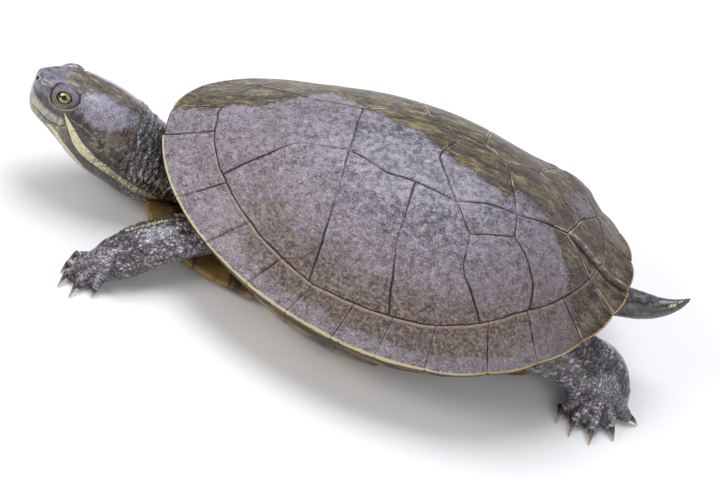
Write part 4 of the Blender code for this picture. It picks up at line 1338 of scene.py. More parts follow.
# Thin pale lines; the first runs along a crease, where its cream is a painted highlight.
THIN_LINES = (
    Stripe(thousandths(((100, 67, 65), (75, 75, 61), (51, 80, 53), (30, 87, 32))),
        (0.3, 0.35, 0.35, 0.2)),
    Stripe(thousandths(((180, 14, 99), (168, 22, 102), (150, 31, 102))), (0.3, 0.45, 0.4)),
    Stripe(thousandths(((-29, -15, 67), (-39, 14, 59), (-41, 47, 47), (-31, 72, 35), (-21, 88, 8))),
        (0.25, 0.3, 0.3, 0.35, 0.3)),
    Stripe(thousandths(((60, 78, -6), (20, 84, -30), (-30, 82, -55))), (0.3, 0.4, 0.3)),
)
MOUTH = thousandths(((191.5, 0, 46), (188, 18, 44), (179, 32, 41), (158, 43, 32), (143, 50, 27),
    (131, 56, 30), (116, 62, 33), (107, 67, 45)))
BEAK_TOP = thousandths(((194, 0, 66), (192, 6, 65), (182, 31, 65), (161, 43, 56), (136, 54, 49),
    (115, 63, 52)))
TEMPLE = thousandths(((92, 24, 106), (50, 2, 98), (4, 6, 84), (-32, -1, 65), (-35, 18, 61),
    (-18, 43, 66), (10, 63, 66), (49, 73, 65), (76, 67, 76), (96, 60, 84)))
RUST = thousandths(((-21, 50, 59), (12, 79, 47)))
MOTTLE = thousandths(((38, 81, 51), (9, 83, 37), (-9, 83, 30)))
NECK_DOTS = thousandths(((-39, 83, 14), (-56, 81, 5), (-78, 78, -9), (-100, 76, -21),
    (-118, 77, -30)))
NOSTRIL = thousandths((187, 13, 94))
BROW = thousandths(((160, 26, 104), (128, 20, 113), (98, 28, 110)))
CHEEK = thousandths((45, 86, 10))
NOSE_GROOVE = thousandths(((180, 14, 99), (168, 22, 102), (154, 29, 102)))


def above_mouth(spots: Array) -> Array:
    """Height over the mouth's line of vertices in the head frame."""
    return spots[:, 2] - np.interp(spots[:, 0], [p[0] for p in MOUTH[::-1]],
                                   [p[2] for p in MOUTH[::-1]])


def inside(x: Array, y: Array, corners: Array) -> Array:
    """Which places lie inside a flat polygon.

    Args:
        x, y: Places in the plan.
        corners: The polygon, one row per corner.

    Returns:
        True where a place lies inside.
    """
    found = np.zeros(len(x), bool)
    for (xa, ya), (xb, yb) in zip(corners, np.roll(corners, -1, axis=0)):
        if ya == yb:
            continue
        crosses = ((ya > y) != (yb > y)) & (x < (xb - xa) * (y - ya) / (yb - ya) + xa)
        found ^= crosses
    return found


@dataclass(frozen=True)
class Skin:
    """One skin for head, neck, trunk, tail and legs."""

    form: ShellForm
    finishes: Finishes
    fine: bool
    head: HeadForm = HeadForm()
    nodes: tuple[str, ...] = ("head", "neck", "trunk", "tail", "leg_front_left", "leg_front_right",
                              "leg_hind_left", "leg_hind_right")

    # ---- ingredients
    def add_head_and_neck(self, lofts: Lofts) -> None:
        """One loft from inside the shell to the snout.

        Args:
            lofts: Where the closed shape is added.
        """
        head = self.head
        yaw = math.radians(head.yaw)
        turned = np.array([math.sin(yaw), math.cos(yaw), 0.0])
        rows = []
        for number, (x, y, z, half, up, down) in enumerate(head.neck):
            rows.append((x, y, z, half, up, down, 2.15, number / len(head.neck)))
        for ahead, level, half, up, down, power in head.stations:
            x, y, _ = head.place(np.array([ahead, 0.0, 0.0]))
            rows.append((x, y, level, half, up, down, power, 1.0))
        table = flowing(rows, 90)
        rings = []
        for row in table:
            wide = np.array([0.0, 1.0, 0.0]) * (1.0 - row[7]) + turned * row[7]
            wide /= np.linalg.norm(wide)
            rings.append(superellipse(row[:3], wide, np.array([0.0, 0.0, 1.0]),
                                      (row[3], row[4], row[5], row[6]), 56))
        lofts.rings(rings)

    def add_trunk(self, lofts: Lofts) -> None:
        """The body inside the shell.

        Args:
            lofts: Where the closed shape is added.
        """
        form, rim = self.form, RimRun(self.form)
        slack, belly = 0.006, -0.099
        columns = []
        for run, side in rim.rays(72):
            start = float(rim.margin_share(run)) - 0.012
            x_rim = rim.ray(run, side, 1.0)[0]
            open_part = min(1.0, abs(x_rim / 0.47) ** 4)
            edge = float(form.rim_height(x_rim)) - float(form.lip_depth(x_rim))
            deep = float(form.dome(*rim.ray(run, side, start))) - form.plate
            brim_share = 0.9 - 0.035 * open_part
            brim = deep + (edge - deep) * (brim_share - start) / (0.985 - start) - slack
            column = []
            for share in (0.02, 0.32 * start, 0.62 * start, 0.84 * start, start):
                spot = rim.ray(run, side, share)
                column.append((*spot, float(form.dome(*spot)) - form.plate - slack))
            for share, z in ((brim_share, brim),
                             (brim_share - 0.028 - 0.03 * open_part, brim - 0.03),
                             (0.765 - 0.05 * open_part, -0.06),
                             (0.66 + 0.02 * open_part, belly), (0.05, belly)):
                column.append((*rim.ray(run, side, share), z))
            columns.append(column)
        lofts.rings(list(np.array(columns).transpose(1, 0, 2)))

    def add_foot(self, lofts: Lofts, foot: Foot) -> None:
        """A leg with its toes and web.

        Args:
            lofts: Where the closed shapes are added.
            foot: The leg to add.
        """
        slim = (1.0,) * (len(foot.limb) - 2) + LIMB_END
        limb = [(p, w * share, h) for (p, w, h), share in zip(foot.limb, slim)]
        lofts.limb(limb, foot.hint, 2.3, 26)
        palm = np.array(foot.palm)
        web = []
        for (end, tip), share in zip(foot.toes, TOE_SIZES):
            end = np.array(end) + (np.array(tip) - np.array(end)) * TOE_REACH
            reach = end - palm
            thick = foot.toe * share
            ahead = reach / np.linalg.norm(reach)
            root = palm - reach * 0.05 + np.array([0, 0, thick * 0.5])
            knuckle = palm + reach * 0.62 + np.array([0, 0, thick * 0.62])
            lofts.limb([
                (tuple(root), thick * 1.05, thick * 1.2),
                (tuple(knuckle), thick * 1.06, thick * 1.12),
                (tuple(end - ahead * thick * 0.4), thick * 0.92, thick * 0.86),
                (tuple(end), thick * 0.66, thick * 0.6)], (0, 0, 1), 2.0, 12)
            web.append(palm + reach * 0.66)
        rim = [palm + (palm - web[2]) * 0.5]
        for a, b in zip(web[:-1], web[1:]):
            rim += [a, (a + b) * 0.5 + (palm - (a + b) * 0.5) * 0.2]
        rim.append(web[-1])
        flat = np.array(rim)
        upper = flat + np.array([0, 0, foot.toe * 0.15])
        lower = flat - np.array([0, 0, foot.toe * 0.45])
        count = len(flat)
        faces = [tuple(range(count)), tuple(count + i for i in range(count))[::-1]]
        faces += [(i, (i + 1) % count, count + (i + 1) % count, count + i) for i in range(count)]
        lofts.add(np.concatenate([upper, lower]), faces)

    # ---- relief
    def shape_eye(self, spots: Array, side: int) -> tuple[Array, Array]:
        """Open the lids over an eye.

        Args:
            spots: vertices in the head frame, changed in place.
            side: +1 left, -1 right.
        Returns:
            How far out each vertex lies in opening sizes, and how high above the eye's middle.
        """
        head = self.head
        centre, axis, forward, upward = head.eye_frame(side)
        away = spots - centre
        a, t1, t2 = away @ axis, away @ forward, away @ upward
        radius = head.eye_radius
        wide, tall = head.opening
        sweep = 1.0 + 0.1 * t1 / wide
        e = np.sqrt((t1 / wide) ** 2 + (t2 / (tall * sweep)) ** 2)
        full = 1.0 if side > 0 else 0.35
        near = (a > -0.3 * radius) & (e < 2.8)
        apart = t1 ** 2 + t2 ** 2
        cap = np.sqrt(np.maximum(radius ** 2 - apart, (0.4 * radius) ** 2))
        wider = 0.031
        lid = np.sqrt(np.maximum(wider ** 2 - apart, 0.0001)) - (wider - radius) + 0.0012
        upper = smoothstep(-0.3, 0.7, t2 / tall)
        lid += full * (0.0014 + 0.0016 * upper) * bell(e, 0.22, 1.44)
        blend = smoothstep(1.48, 2.25, e)
        target = lid * (1.0 - blend) + a * blend
        target -= 0.0026 * bell(e, 0.11, 1.8) * (0.5 + 0.5 * upper)
        target -= 0.0014 * bell(e, 0.06, 1.22)
        target += 0.001 * bell(e, 0.14, 2.06)
        ripple = 0.00045 * np.sin(2.0 * np.pi * (e - 1.0) / 0.2) * (e < 1.75)
        target += np.where(e > 1.25, ripple, 0.0)
        inner = lid - 0.001 - 0.0105 * smoothstep(1.0, 0.88, e)
        target = np.where(e < 1.0, np.minimum(inner, target), target)
        move = np.where(near, target - a, 0.0)
        spots += move[:, None] * axis
        return np.where(near, e, 9.0), t2 / tall

    def shape_head(self, spots: Array, normals: Array) -> Fields:
        """Lids, beak, nostrils and folds of the head.

        Args:
            spots: vertices in the head frame, changed in place.
            normals: outward directions in the head frame.
        Returns:
            Fields for the finish, by name.
        """
        mirrored = spots * 1.0
        mirrored[:, 1] = np.abs(mirrored[:, 1])
        mouth, _ = line_distance(mirrored, MOUTH)
        groove, _ = line_distance(mirrored, NOSE_GROOVE)
        nostril = np.linalg.norm(mirrored - NOSTRIL, axis=1)
        relief = -0.003 * bell(mouth, 0.002)
        above = smoothstep(-0.004, 0.012, above_mouth(mirrored))
        relief += 0.002 * bell(mouth, 0.011) * above
        relief -= 0.0018 * bell(groove, 0.0022)
        reach = np.sqrt(np.maximum(nostril ** 2 - nostril.min() ** 2, 0.0))
        relief += 0.0016 * bell(reach, 0.002, 0.005)
        relief -= 0.007 * np.exp(-(reach / 0.003) ** 4)
        fold, _ = line_distance(mirrored, THIN_LINES[2].corners)
        relief -= 0.0022 * bell(fold, 0.004)
        relief += 0.002 * bell(fold, 0.006, 0.01)
        brow, _ = line_distance(mirrored, BROW)
        relief += 0.0014 * bell(brow, 0.009)
        cheek = np.linalg.norm(mirrored - CHEEK, axis=1)
        relief += 0.003 * bell(cheek, 0.03)
        relief *= smoothstep(-0.06, -0.02, mirrored[:, 0])
        spots += normals * relief[:, None]
        left, rise_left = self.shape_eye(spots, 1)
        right, rise_right = self.shape_eye(spots, -1)
        return {"lid": np.minimum(left, right),
                "lid_rise": np.where(left < right, rise_left, rise_right),
                "mouth": np.minimum(mouth * self.form.mm, 9.0),
                "nostril": np.minimum(reach * self.form.mm, 9.0)}

    def crinkle(self, shell: Array, head: Array, runs: Fields) -> Array:
        """Wrinkles and scales of neck, limbs and tail, in millimetres.

        Args:
            shell: vertices in the shell frame.
            head: the same vertices in the head frame.
            runs: runs along toes and tail.
        Returns:
            Outward relief.
        """
        spots = shell * self.form.mm
        neck = smoothstep(-0.012, -0.045, head[:, 0]) * smoothstep(0.3, 0.12, np.abs(head[:, 1]))
        neck *= smoothstep(-0.3, -0.34, shell[:, 0])
        sway = 1.6 * grain(spots, 9.0, 41) + 0.8 * grain(spots, 4.0, 42)
        phase = (head[:, 0] * self.form.mm + sway) / 3.1
        folds = 0.66 * (np.abs(np.sin(np.pi * phase)) - 0.6)
        slow = (head[:, 0] * self.form.mm + 2.2 * sway + 4.0) / 5.3
        second = 0.4 * (np.abs(np.sin(np.pi * slow)) - 0.6)
        relief = neck * (folds + second)
        limb = np.clip(runs["limb"], 0.0, 1.0) * (1.0 - runs["tail_near"])
        long_way = spots - runs["along"] * (spots * runs["along"]).sum(axis=1)[:, None] * 0.8
        bumps = 0.6 * np.abs(grain(long_way, 3.4, 43)) + 1.05 * np.abs(grain(long_way, 8.0, 44))
        bumps += 0.25 * np.abs(grain(spots, 2.1, 46))
        relief += limb * (bumps - 0.52) * (1.0 - 0.65 * runs["toe_near"])
        relief += limb * runs["toe_rise"]
        bands = np.abs(np.sin(np.pi * runs["toe_run"] / 2.1)) - 0.5
        relief += runs["toe_near"] * bands * 0.42
        tail = runs["tail_near"]
        relief += tail * 0.22 * (np.abs(np.sin(np.pi * runs["tail_run"] / 2.0)) - 0.5)
        skull = smoothstep(-0.03, 0.0, head[:, 0])
        relief += 0.09 * skull * rough_grain(spots, 3.0, 45, 2)
        return relief

    def runs(self, shell: Array) -> Fields:
        """Where each vertex lies along toes, tail and limbs.

        Args:
            shell: vertices in the shell frame.
        Returns:
            Runs in millimetres, nearness from 0 to 1, and the way along the limb.
        """
        toe_best = np.full(len(shell), 1.0)
        toe_run = np.zeros(len(shell))
        limb = np.full(len(shell), 1.0)
        along = np.zeros((len(shell), 3))
        limb_turn = np.zeros(len(shell))
        foot_near = np.zeros(len(shell))
        flat = shell * (1.0, 1.0, 0.0)
        for foot in FEET:
            palm = np.array(foot.palm)
            away, _ = line_distance(shell, [station[0] for station in foot.limb])
            closer = away < limb
            limb = np.minimum(limb, away)
            way = palm - np.array(foot.limb[2][0])
            along[closer] = way / np.linalg.norm(way)
            across = np.cross(way, (0.0, 0.0, 1.0))
            across /= np.linalg.norm(across)
            out = shell[closer] - palm
            limb_turn[closer] = np.arctan2(out[:, 2] - 0.06 - palm[2] * 0.5, out @ across) * 12.0
            middle = palm + (np.array(foot.toes[2][0]) - palm) * 0.2
            reach_out = np.linalg.norm((shell - middle) * (1.0, 1.0, 0.8), axis=1)
            foot_near = np.maximum(foot_near, smoothstep(0.105, 0.07, reach_out))
            for end, _ in foot.toes:
                reach = np.array(end) - palm
                line = np.array([palm - reach * 0.1, np.array(end) + reach * 0.1])
                away, run = line_distance(flat, line * (1.0, 1.0, 0.0))
                away = away / foot.toe
                closer = away < toe_best
                toe_best[closer] = away[closer]
                toe_run[closer] = run[closer] * self.form.mm
        away, run = line_distance(shell, [p[:3] for p in TAIL])
        tail_near = smoothstep(0.07, 0.05, away) * smoothstep(0.44, 0.47, shell[:, 0])
        tail_near *= shell[:, 2] > 0.0
        toe_near = smoothstep(1.0, 0.55, toe_best) * foot_near
        rise = foot_near * (1.5 * bell(toe_best, 0.58) - 0.8 * smoothstep(2.4, 1.3, toe_best))
        limb_near = smoothstep(0.115, 0.09, limb) * (1.0 - tail_near)
        return {"toe_run": toe_run, "toe_near": toe_near, "limb": np.maximum(limb_near, toe_near),
                "tail_run": run * self.form.mm, "tail_near": tail_near, "along": along,
                "toe_rise": rise, "limb_turn": limb_turn,
                "limb_run": (shell * along).sum(axis=1) * self.form.mm}

    # ---- markings
    def stripe_field(self, shell: Array, head: Array, stripe: Stripe) -> Array:
        """Measure how far inside a stripe vertices lie, the same on both sides for head stripes.

        Args:
            shell: vertices in the shell frame.
            head: the same vertices in the head frame.
            stripe: the stripe.
        Returns:
            Millimetres inside it, negative outside.
        """
        spots = (head if stripe.on_head else shell) * 1.0
        if stripe.on_head:
            spots[:, 1] = np.abs(spots[:, 1])
        away, run = line_distance(spots, stripe.corners)
        at = run_along(np.array(stripe.corners))
        return np.interp(run, at, stripe.widths) - away * self.form.mm

    def mark(self, shell: Array, head: Array, runs: Fields,
             relief: Array) -> Fields:
        """Every marking and place that the skin's finish reads.

        Args:
            shell: vertices in the shell frame.
            head: the same vertices in the head frame.
            runs: runs along toes, tail and limbs.
            relief: wrinkles in millimetres.
        Returns:
            Fields for the finish, by name.
        """
        mm = self.form.mm
        ahead, mirrored = head[:, 0], head * 1.0
        level = self.head.level(ahead)
        lean = 0.02 * smoothstep(0.03, 0.07, head[:, 2] - level) * smoothstep(0.14, 0.1, ahead)
        mirrored[:, 1] = np.abs(head[:, 1] + lean) - lean
        angle = np.arctan2(head[:, 2] - level, mirrored[:, 1])
        both = shell * 1.0
        both[:, 1] = np.abs(both[:, 1])
        stripes = [self.stripe_field(shell, head, s) for s in (MAIN_STRIPE, JAW_STRIPE, TAIL_STRIPE)]
        stripes.append(self.stripe_field(both, head, ARM_STRIPE))
        thin = [self.stripe_field(shell, head, s) for s in THIN_LINES]
        dots = np.min([np.linalg.norm(mirrored - dot, axis=1) for dot in NECK_DOTS], axis=0)
        rust, mottle = (line_distance(mirrored, line)[0] * mm for line in (RUST, MOTTLE))
        on_head = smoothstep(-0.05, -0.02, ahead) * smoothstep(-0.41, -0.45, shell[:, 0])
        on_head *= smoothstep(0.18, 0.14, np.abs(head[:, 1]))
        skin_only = 1.0 - runs["limb"]
        fields = {
            "pale": np.clip(np.max(stripes, axis=0), -8.0, 4.0),
            "thin": np.clip(np.max(thin, axis=0), -4.0, 1.0),
            "rust": bell(rust, 4.2), "olive": bell(mottle, 5.0),
            "dots": np.clip(0.75 - dots * mm, -4.0, 1.0),
            "crown": smoothstep(0.8, 1.2, angle) * on_head * smoothstep(0.15, 0.112, ahead),
            "neck_turn": np.arctan2(head[:, 2] - level, head[:, 1]) * 22.0,
            # Relief that the finish paints as shade in hollows and highlight on ridges.
            "relief_shade": np.clip(relief, -0.55, 0.75),
            # top of the snout, which the finish paints with a lilac highlight
            "front": smoothstep(0.085, 0.125, ahead) * smoothstep(0.3, 0.85, angle),
            "jaw": smoothstep(0.085, 0.11, ahead) * smoothstep(0.0, -0.006, above_mouth(mirrored)),
            "under": smoothstep(0.15, -0.7, angle) * smoothstep(-0.38, -0.42, shell[:, 0]) * skin_only,
            "head": on_head,
            "neck": smoothstep(0.004, -0.014, ahead) * skin_only * smoothstep(-0.36, -0.4, shell[:, 0]),
            "limb": runs["limb"], "limb_run": runs["limb_run"], "limb_turn": runs["limb_turn"],
            "tail": runs["tail_near"], "toe": runs["toe_near"], "toe_run": runs["toe_run"],
            "neck_run": ahead * mm,
        }
        for name, outline in (("temple", TEMPLE), ("beak", MOUTH + BEAK_TOP[::-1])):
            corners = np.array(outline)
            turned = np.arctan2(corners[:, 2] - self.head.level(corners[:, 0]), corners[:, 1])
            held = inside(ahead, angle, np.stack([corners[:, 0], turned], axis=1))
            away = line_distance(mirrored, outline + outline[:1])[0] * mm
            fields[name] = np.clip(np.where(held, away, -away), -6.0, 6.0)
        return fields

    # ---- making
    def select_faces(self, obj: Piece, keep: Array) -> None:
        """Enter edit mode with only the faces selected whose corners are all kept.

        Args:
            obj: The object to edit.
            keep: True for each vertex that counts.
        """
        mesh = obj.data
        loops = np.empty(len(mesh.loops), np.int32)
        mesh.loops.foreach_get("vertex_index", loops)
        starts = np.empty(len(mesh.polygons), np.int32)
        mesh.polygons.foreach_get("loop_start", starts)
        chosen = np.minimum.reduceat(keep[loops].astype(np.int8), starts).astype(bool)
        activate(obj)
        bpy.context.tool_settings.mesh_select_mode = (False, False, True)
        mesh.vertices.foreach_set("select", np.zeros(len(mesh.vertices), bool))
        mesh.edges.foreach_set("select", np.zeros(len(mesh.edges), bool))
        mesh.polygons.foreach_set("select", chosen)
        bpy.ops.object.mode_set(mode="EDIT")

    def eye_reach(self, head: Array) -> Array:
        """Distance to the nearer eye's outer pole, in eye radii.

        Args:
            head: Head frame rows.

        Returns:
            Eye radii, one per row.
        """
        best = np.full(len(head), 99.0)
        for side in (1, -1):
            centre, axis, _, _ = self.head.eye_frame(side)
            pole = centre + axis * self.head.eye_radius * 0.8
            best = np.minimum(best, np.linalg.norm(head - pole, axis=1) / self.head.eye_radius)
        return best

    def places(self, obj: Piece) -> tuple[Array, Array]:
        """An object's vertices in the shell frame and in the head frame."""
        shell = self.form.local(read(obj.data))
        return shell, self.head.read(shell)

    def meshed(self) -> Piece:
        """Melt the lofts into one skin, coarse inside the shell and fine on the face.

        Returns:
            The skin, with triangles only.
        """
        lofts = Lofts()
        self.add_head_and_neck(lofts)
        self.add_trunk(lofts)
        for foot in FEET:
            self.add_foot(lofts, foot)
        lofts.limb([(p[:3], p[3], p[3]) for p in TAIL], (0, 0, 1), 2.0, 30)
        obj = mesh_piece("skin", self.form.world(np.concatenate(lofts.points)), lofts.faces)
        melt(obj, 0.001 if self.fine else 0.0013, 4)
        shell, _ = self.places(obj)
        share = self.form.girth(shell[:, 0], shell[:, 1])[0]
        roof = self.form.dome(shell[:, 0], shell[:, 1])
        self.select_faces(obj, (share < 0.7) & (shell[:, 2] > -0.112) & (shell[:, 2] < roof))
        bpy.ops.mesh.decimate(ratio=0.03)
        bpy.ops.object.mode_set(mode="OBJECT")
        shell, head = self.places(obj)
        far = (head[:, 0] < -0.15) | (np.abs(head[:, 1]) > 0.15)
        self.select_faces(obj, far & (shell[:, 2] > -0.096))
        bpy.ops.mesh.decimate(ratio=0.42)
        bpy.ops.object.mode_set(mode="OBJECT")
        for near_eye, near_snout in ((2.4, 0.095), (1.6, 0.179))[:2 if self.fine else 1]:
            _, head = self.places(obj)
            self.select_faces(obj, (self.eye_reach(head) < near_eye) | (head[:, 0] > near_snout))
            bpy.ops.mesh.subdivide(number_cuts=1, smoothness=1.0)
            bpy.ops.mesh.vertices_smooth(factor=0.5, repeat=1)
            bpy.ops.object.mode_set(mode="OBJECT")
        return obj

    def build(self) -> None:
        """The finished skin with its relief and markings."""
        obj = self.meshed()
        mesh = obj.data
        shell, head = self.places(obj)
        normals = read(mesh, "normal") * (1.0, -1.0, 1.0)
        runs = self.runs(shell)
        relief = self.crinkle(shell, head, runs)
        fields = self.mark(shell, head, runs, relief)
        turned = self.head.read(normals) - self.head.read(np.zeros(3))
        fields |= self.shape_head(head, turned)
        low = smoothstep(SOLE_LEVEL + 0.002, SOLE_LEVEL + 0.01, shell[:, 2])
        moved = self.head.place(head) + normals * (relief / self.form.mm * low)[:, None]
        moved[:, 2] = np.maximum(moved[:, 2], SOLE_LEVEL)
        write_points(mesh, self.form.world(moved))
        store(mesh, fields)
        mesh.shade_smooth()
        settle(obj, self.finishes.skin, self.nodes)


@dataclass(frozen=True)
class Eyes:
    """The two eyeballs."""

    form: ShellForm
    finishes: Finishes
    head: HeadForm = HeadForm()

    def build(self) -> None:
        """A ball in each socket, with its gaze stored for the finish."""
        for side in Side:
            centre, axis, forward, upward = self.head.eye_frame(side.value)
            middle = self.form.world(self.head.place(centre))
            activate()
            bpy.ops.mesh.primitive_uv_sphere_add(segments=72, ring_count=48,
                                                 radius=self.head.eye_radius * self.form.length,
                                                 location=tuple(middle))
            obj = bpy.context.object
            obj.name = f"eyeball_{side.word}"
            bpy.ops.object.transform_apply(location=True, rotation=True, scale=True)
            bpy.ops.object.shade_smooth()
            away = self.head.read(self.form.local(read(obj.data))) - centre
            away *= self.form.mm * np.where(away @ axis > 0.0, 1.0, 4.0)[:, None]
            store(obj.data, {"gaze_x": away @ forward, "gaze_y": away @ upward})
            settle(obj, self.finishes.eye, [f"eye_{side.word}"])


@dataclass(frozen=True)
class Claws:
    """Five claws on each foot."""

    form: ShellForm
    finishes: Finishes
    width: float = 0.56
    root: float = 0.42
    bow: float = 0.16

    def claw(self, end: Point, tip: Point, size: float) -> Piece:
        """One curved claw from inside the toe to its tip.

        Args:
            end: the toe's end.
            tip: the claw's tip.
            size: its half width at the root.
        Returns:
            The claw.
        """
        tip_at, end_at = np.array(tip), np.array(end)
        end_at = end_at + (tip_at - end_at) * TOE_REACH
        start = self.form.world(end_at + (end_at - tip_at) * self.root)
        stop = self.form.world(tip_at)
        reach = Vector(stop - start)
        activate()
        bpy.ops.mesh.primitive_cone_add(vertices=16, radius1=size * self.form.length,
                                        radius2=size * 0.12 * self.form.length,
                                        depth=reach.length, location=tuple((start + stop) / 2),
                                        rotation=reach.to_track_quat("Z", "Y").to_euler())
        obj = bpy.context.object
        bpy.ops.object.transform_apply(location=True, rotation=True, scale=True)
        edit_all(obj, lambda: bpy.ops.mesh.subdivide(number_cuts=5))
        points = read(obj.data)
        run = np.clip((points - start) @ np.array(reach) / reach.length_squared, 0.0, 1.0)
        points[:, 2] += 4.0 * run * (1.0 - run) * self.bow * reach.length
        points[:, 2] = np.maximum(points[:, 2], self.form.world((0, 0, SOLE_LEVEL))[2])
        write_points(obj.data, points)
        store(obj.data, {"claw_run": run})
        return obj

    def build(self) -> None:
        """One piece of claws for each foot."""
        for foot in FEET:
            parts = [self.claw(end, tip, foot.toe * self.width) for end, tip in foot.toes]
            activate(*parts)
            bpy.ops.object.join()
            parts[0].name = f"claws_{foot.name}"
            bpy.ops.object.shade_smooth()
            settle(parts[0], self.finishes.claw)


@dataclass(frozen=True)
class Underside:
    """Plastron and bridges; seams are (station, bow) in the shell frame."""

    form: ShellForm
    finishes: Finishes
    frame: dict
    nodes: tuple[str, ...] = ("plastron_front", "plastron_middle", "plastron_rear",
                              "bridge_left", "bridge_right")
    seams: tuple[Point, ...] = ((-0.385, 0.05), (-0.275, 0.02), (0.02, 0.04), (0.285, 0.03))

    def build(self) -> None:
        """Rounded copies of the CAD slabs, with seams and relief."""
        for name in self.nodes:
            node = self.frame["nodes"][name]
            obj = link(bpy.data.objects.new(f"plate_{name}", node.data.copy()))
            mesh = obj.data
            mesh.materials.clear()
            edit_all(obj, lambda: bpy.ops.mesh.remove_doubles(threshold=1e-6),
                     lambda: bpy.ops.mesh.normals_make_consistent(inside=False))
            melt(obj, 0.001, 5)
            mesh = obj.data
            points = read(mesh)
            spots = self.form.local(points)
            x, y = spots[:, 0], spots[:, 1]
            seam = np.abs(y + 0.004 * grain(spots, 0.03, 61))
            for station, bow in self.seams:
                line = station + bow * np.abs(y) / 0.2 + 0.004 * grain(spots, 0.03, 62)
                seam = np.minimum(seam, np.abs(x - line))
            if name.startswith("bridge"):
                seam = np.abs(x - 0.055 * np.round(x / 0.11) * 2.0 + 0.01)
            seam = seam * self.form.mm
            relief = -0.3 * bell(seam, 0.8) * (spots[:, 2] < -0.102)
            relief += 0.1 * rough_grain(points / MM, 7.0, 63)
            write_points(mesh, points + read(mesh, "normal") * relief[:, None] * MM)
            store(mesh, {"seam": np.minimum(seam, 20.0)})
            mesh.shade_smooth()
            settle(obj, self.finishes.under, [name])


# ---- finishes
def linear(*screen: float) -> Point:
    """A screen colour from 0 to 255 as the linear colour that shaders use."""
    shares = [value / 255.0 for value in screen]
    return *(s / 12.92 if s <= 0.04045 else ((s + 0.055) / 1.055) ** 2.4 for s in shares), 1.0


class Shade:
    """A number, colour or vector in a material, whose arithmetic adds nodes."""

    def __init__(self, wiring: Wiring, socket: bpy.types.NodeSocket) -> None:
        """Wrap an output socket."""
        self.wiring = wiring
        self.socket = socket

    def math(self, kind: str, other: object = 0.0, clamp: bool = False) -> Shade:
        """Arithmetic with a number or another shade."""
        return self.wiring.node("Math", {0: self, 1: other}, 0, operation=kind, use_clamp=clamp)

    def __add__(self, other: object) -> Shade:
        """The sum."""
        return self.math("ADD", other)

    def __sub__(self, other: object) -> Shade:
        """The difference."""
        return self.math("SUBTRACT", other)

    def __mul__(self, other: object) -> Shade:
        """The product."""
        return self.math("MULTIPLY", other)

    def __truediv__(self, other: object) -> Shade:
        """The quotient."""
        return self.math("DIVIDE", other)

    def __abs__(self) -> Shade:
        """The size without its sign."""
        return self.math("ABSOLUTE")

    def off(self, strength: float) -> Shade:
        """A pattern centred on zero, times a strength."""
        return (self - 0.5) * strength

    def blend(self, other: Shade, share: float) -> Shade:
        """A weighted mean of two patterns, share being the other one's."""
        return self * (1.0 - share) + other * share

    def span(self, low: float, high: float, start: float = 0.0, end: float = 1.0) -> Shade:
        """Smoothly map the range from low to high onto start to end, held at both ends."""
        inputs = {"Value": self, "From Min": low, "From Max": high, "To Min": start, "To Max": end}
        return self.wiring.node("MapRange", inputs, "Result", interpolation_type="SMOOTHSTEP")

    def between(self, a: object, b: object) -> Shade:
        """The colour that lies this share of the way from a to b."""
        return self.wiring.node("Mix", {0: self, 6: a, 7: b}, 2, data_type="RGBA")

    def painted(self, colour: object, share: Shade) -> Shade:
        """This colour with another laid over it by a share."""
        return share.between(self, colour)

    def ramp(self, *stops: tuple[float, Point]) -> Shade:
        """Screen colours along a number.

        Args:
            stops: Pairs of a number and a screen colour.

        Returns:
            The colour.
        """
        found = self.wiring.node("ValToRGB", {"Fac": self}, "Color")
        bar = found.socket.node.color_ramp
        while len(bar.elements) < len(stops):
            bar.elements.new(0.5)
        for element, (where, colour) in zip(bar.elements, stops):
            element.position = where
            element.color = linear(*colour)
        return found


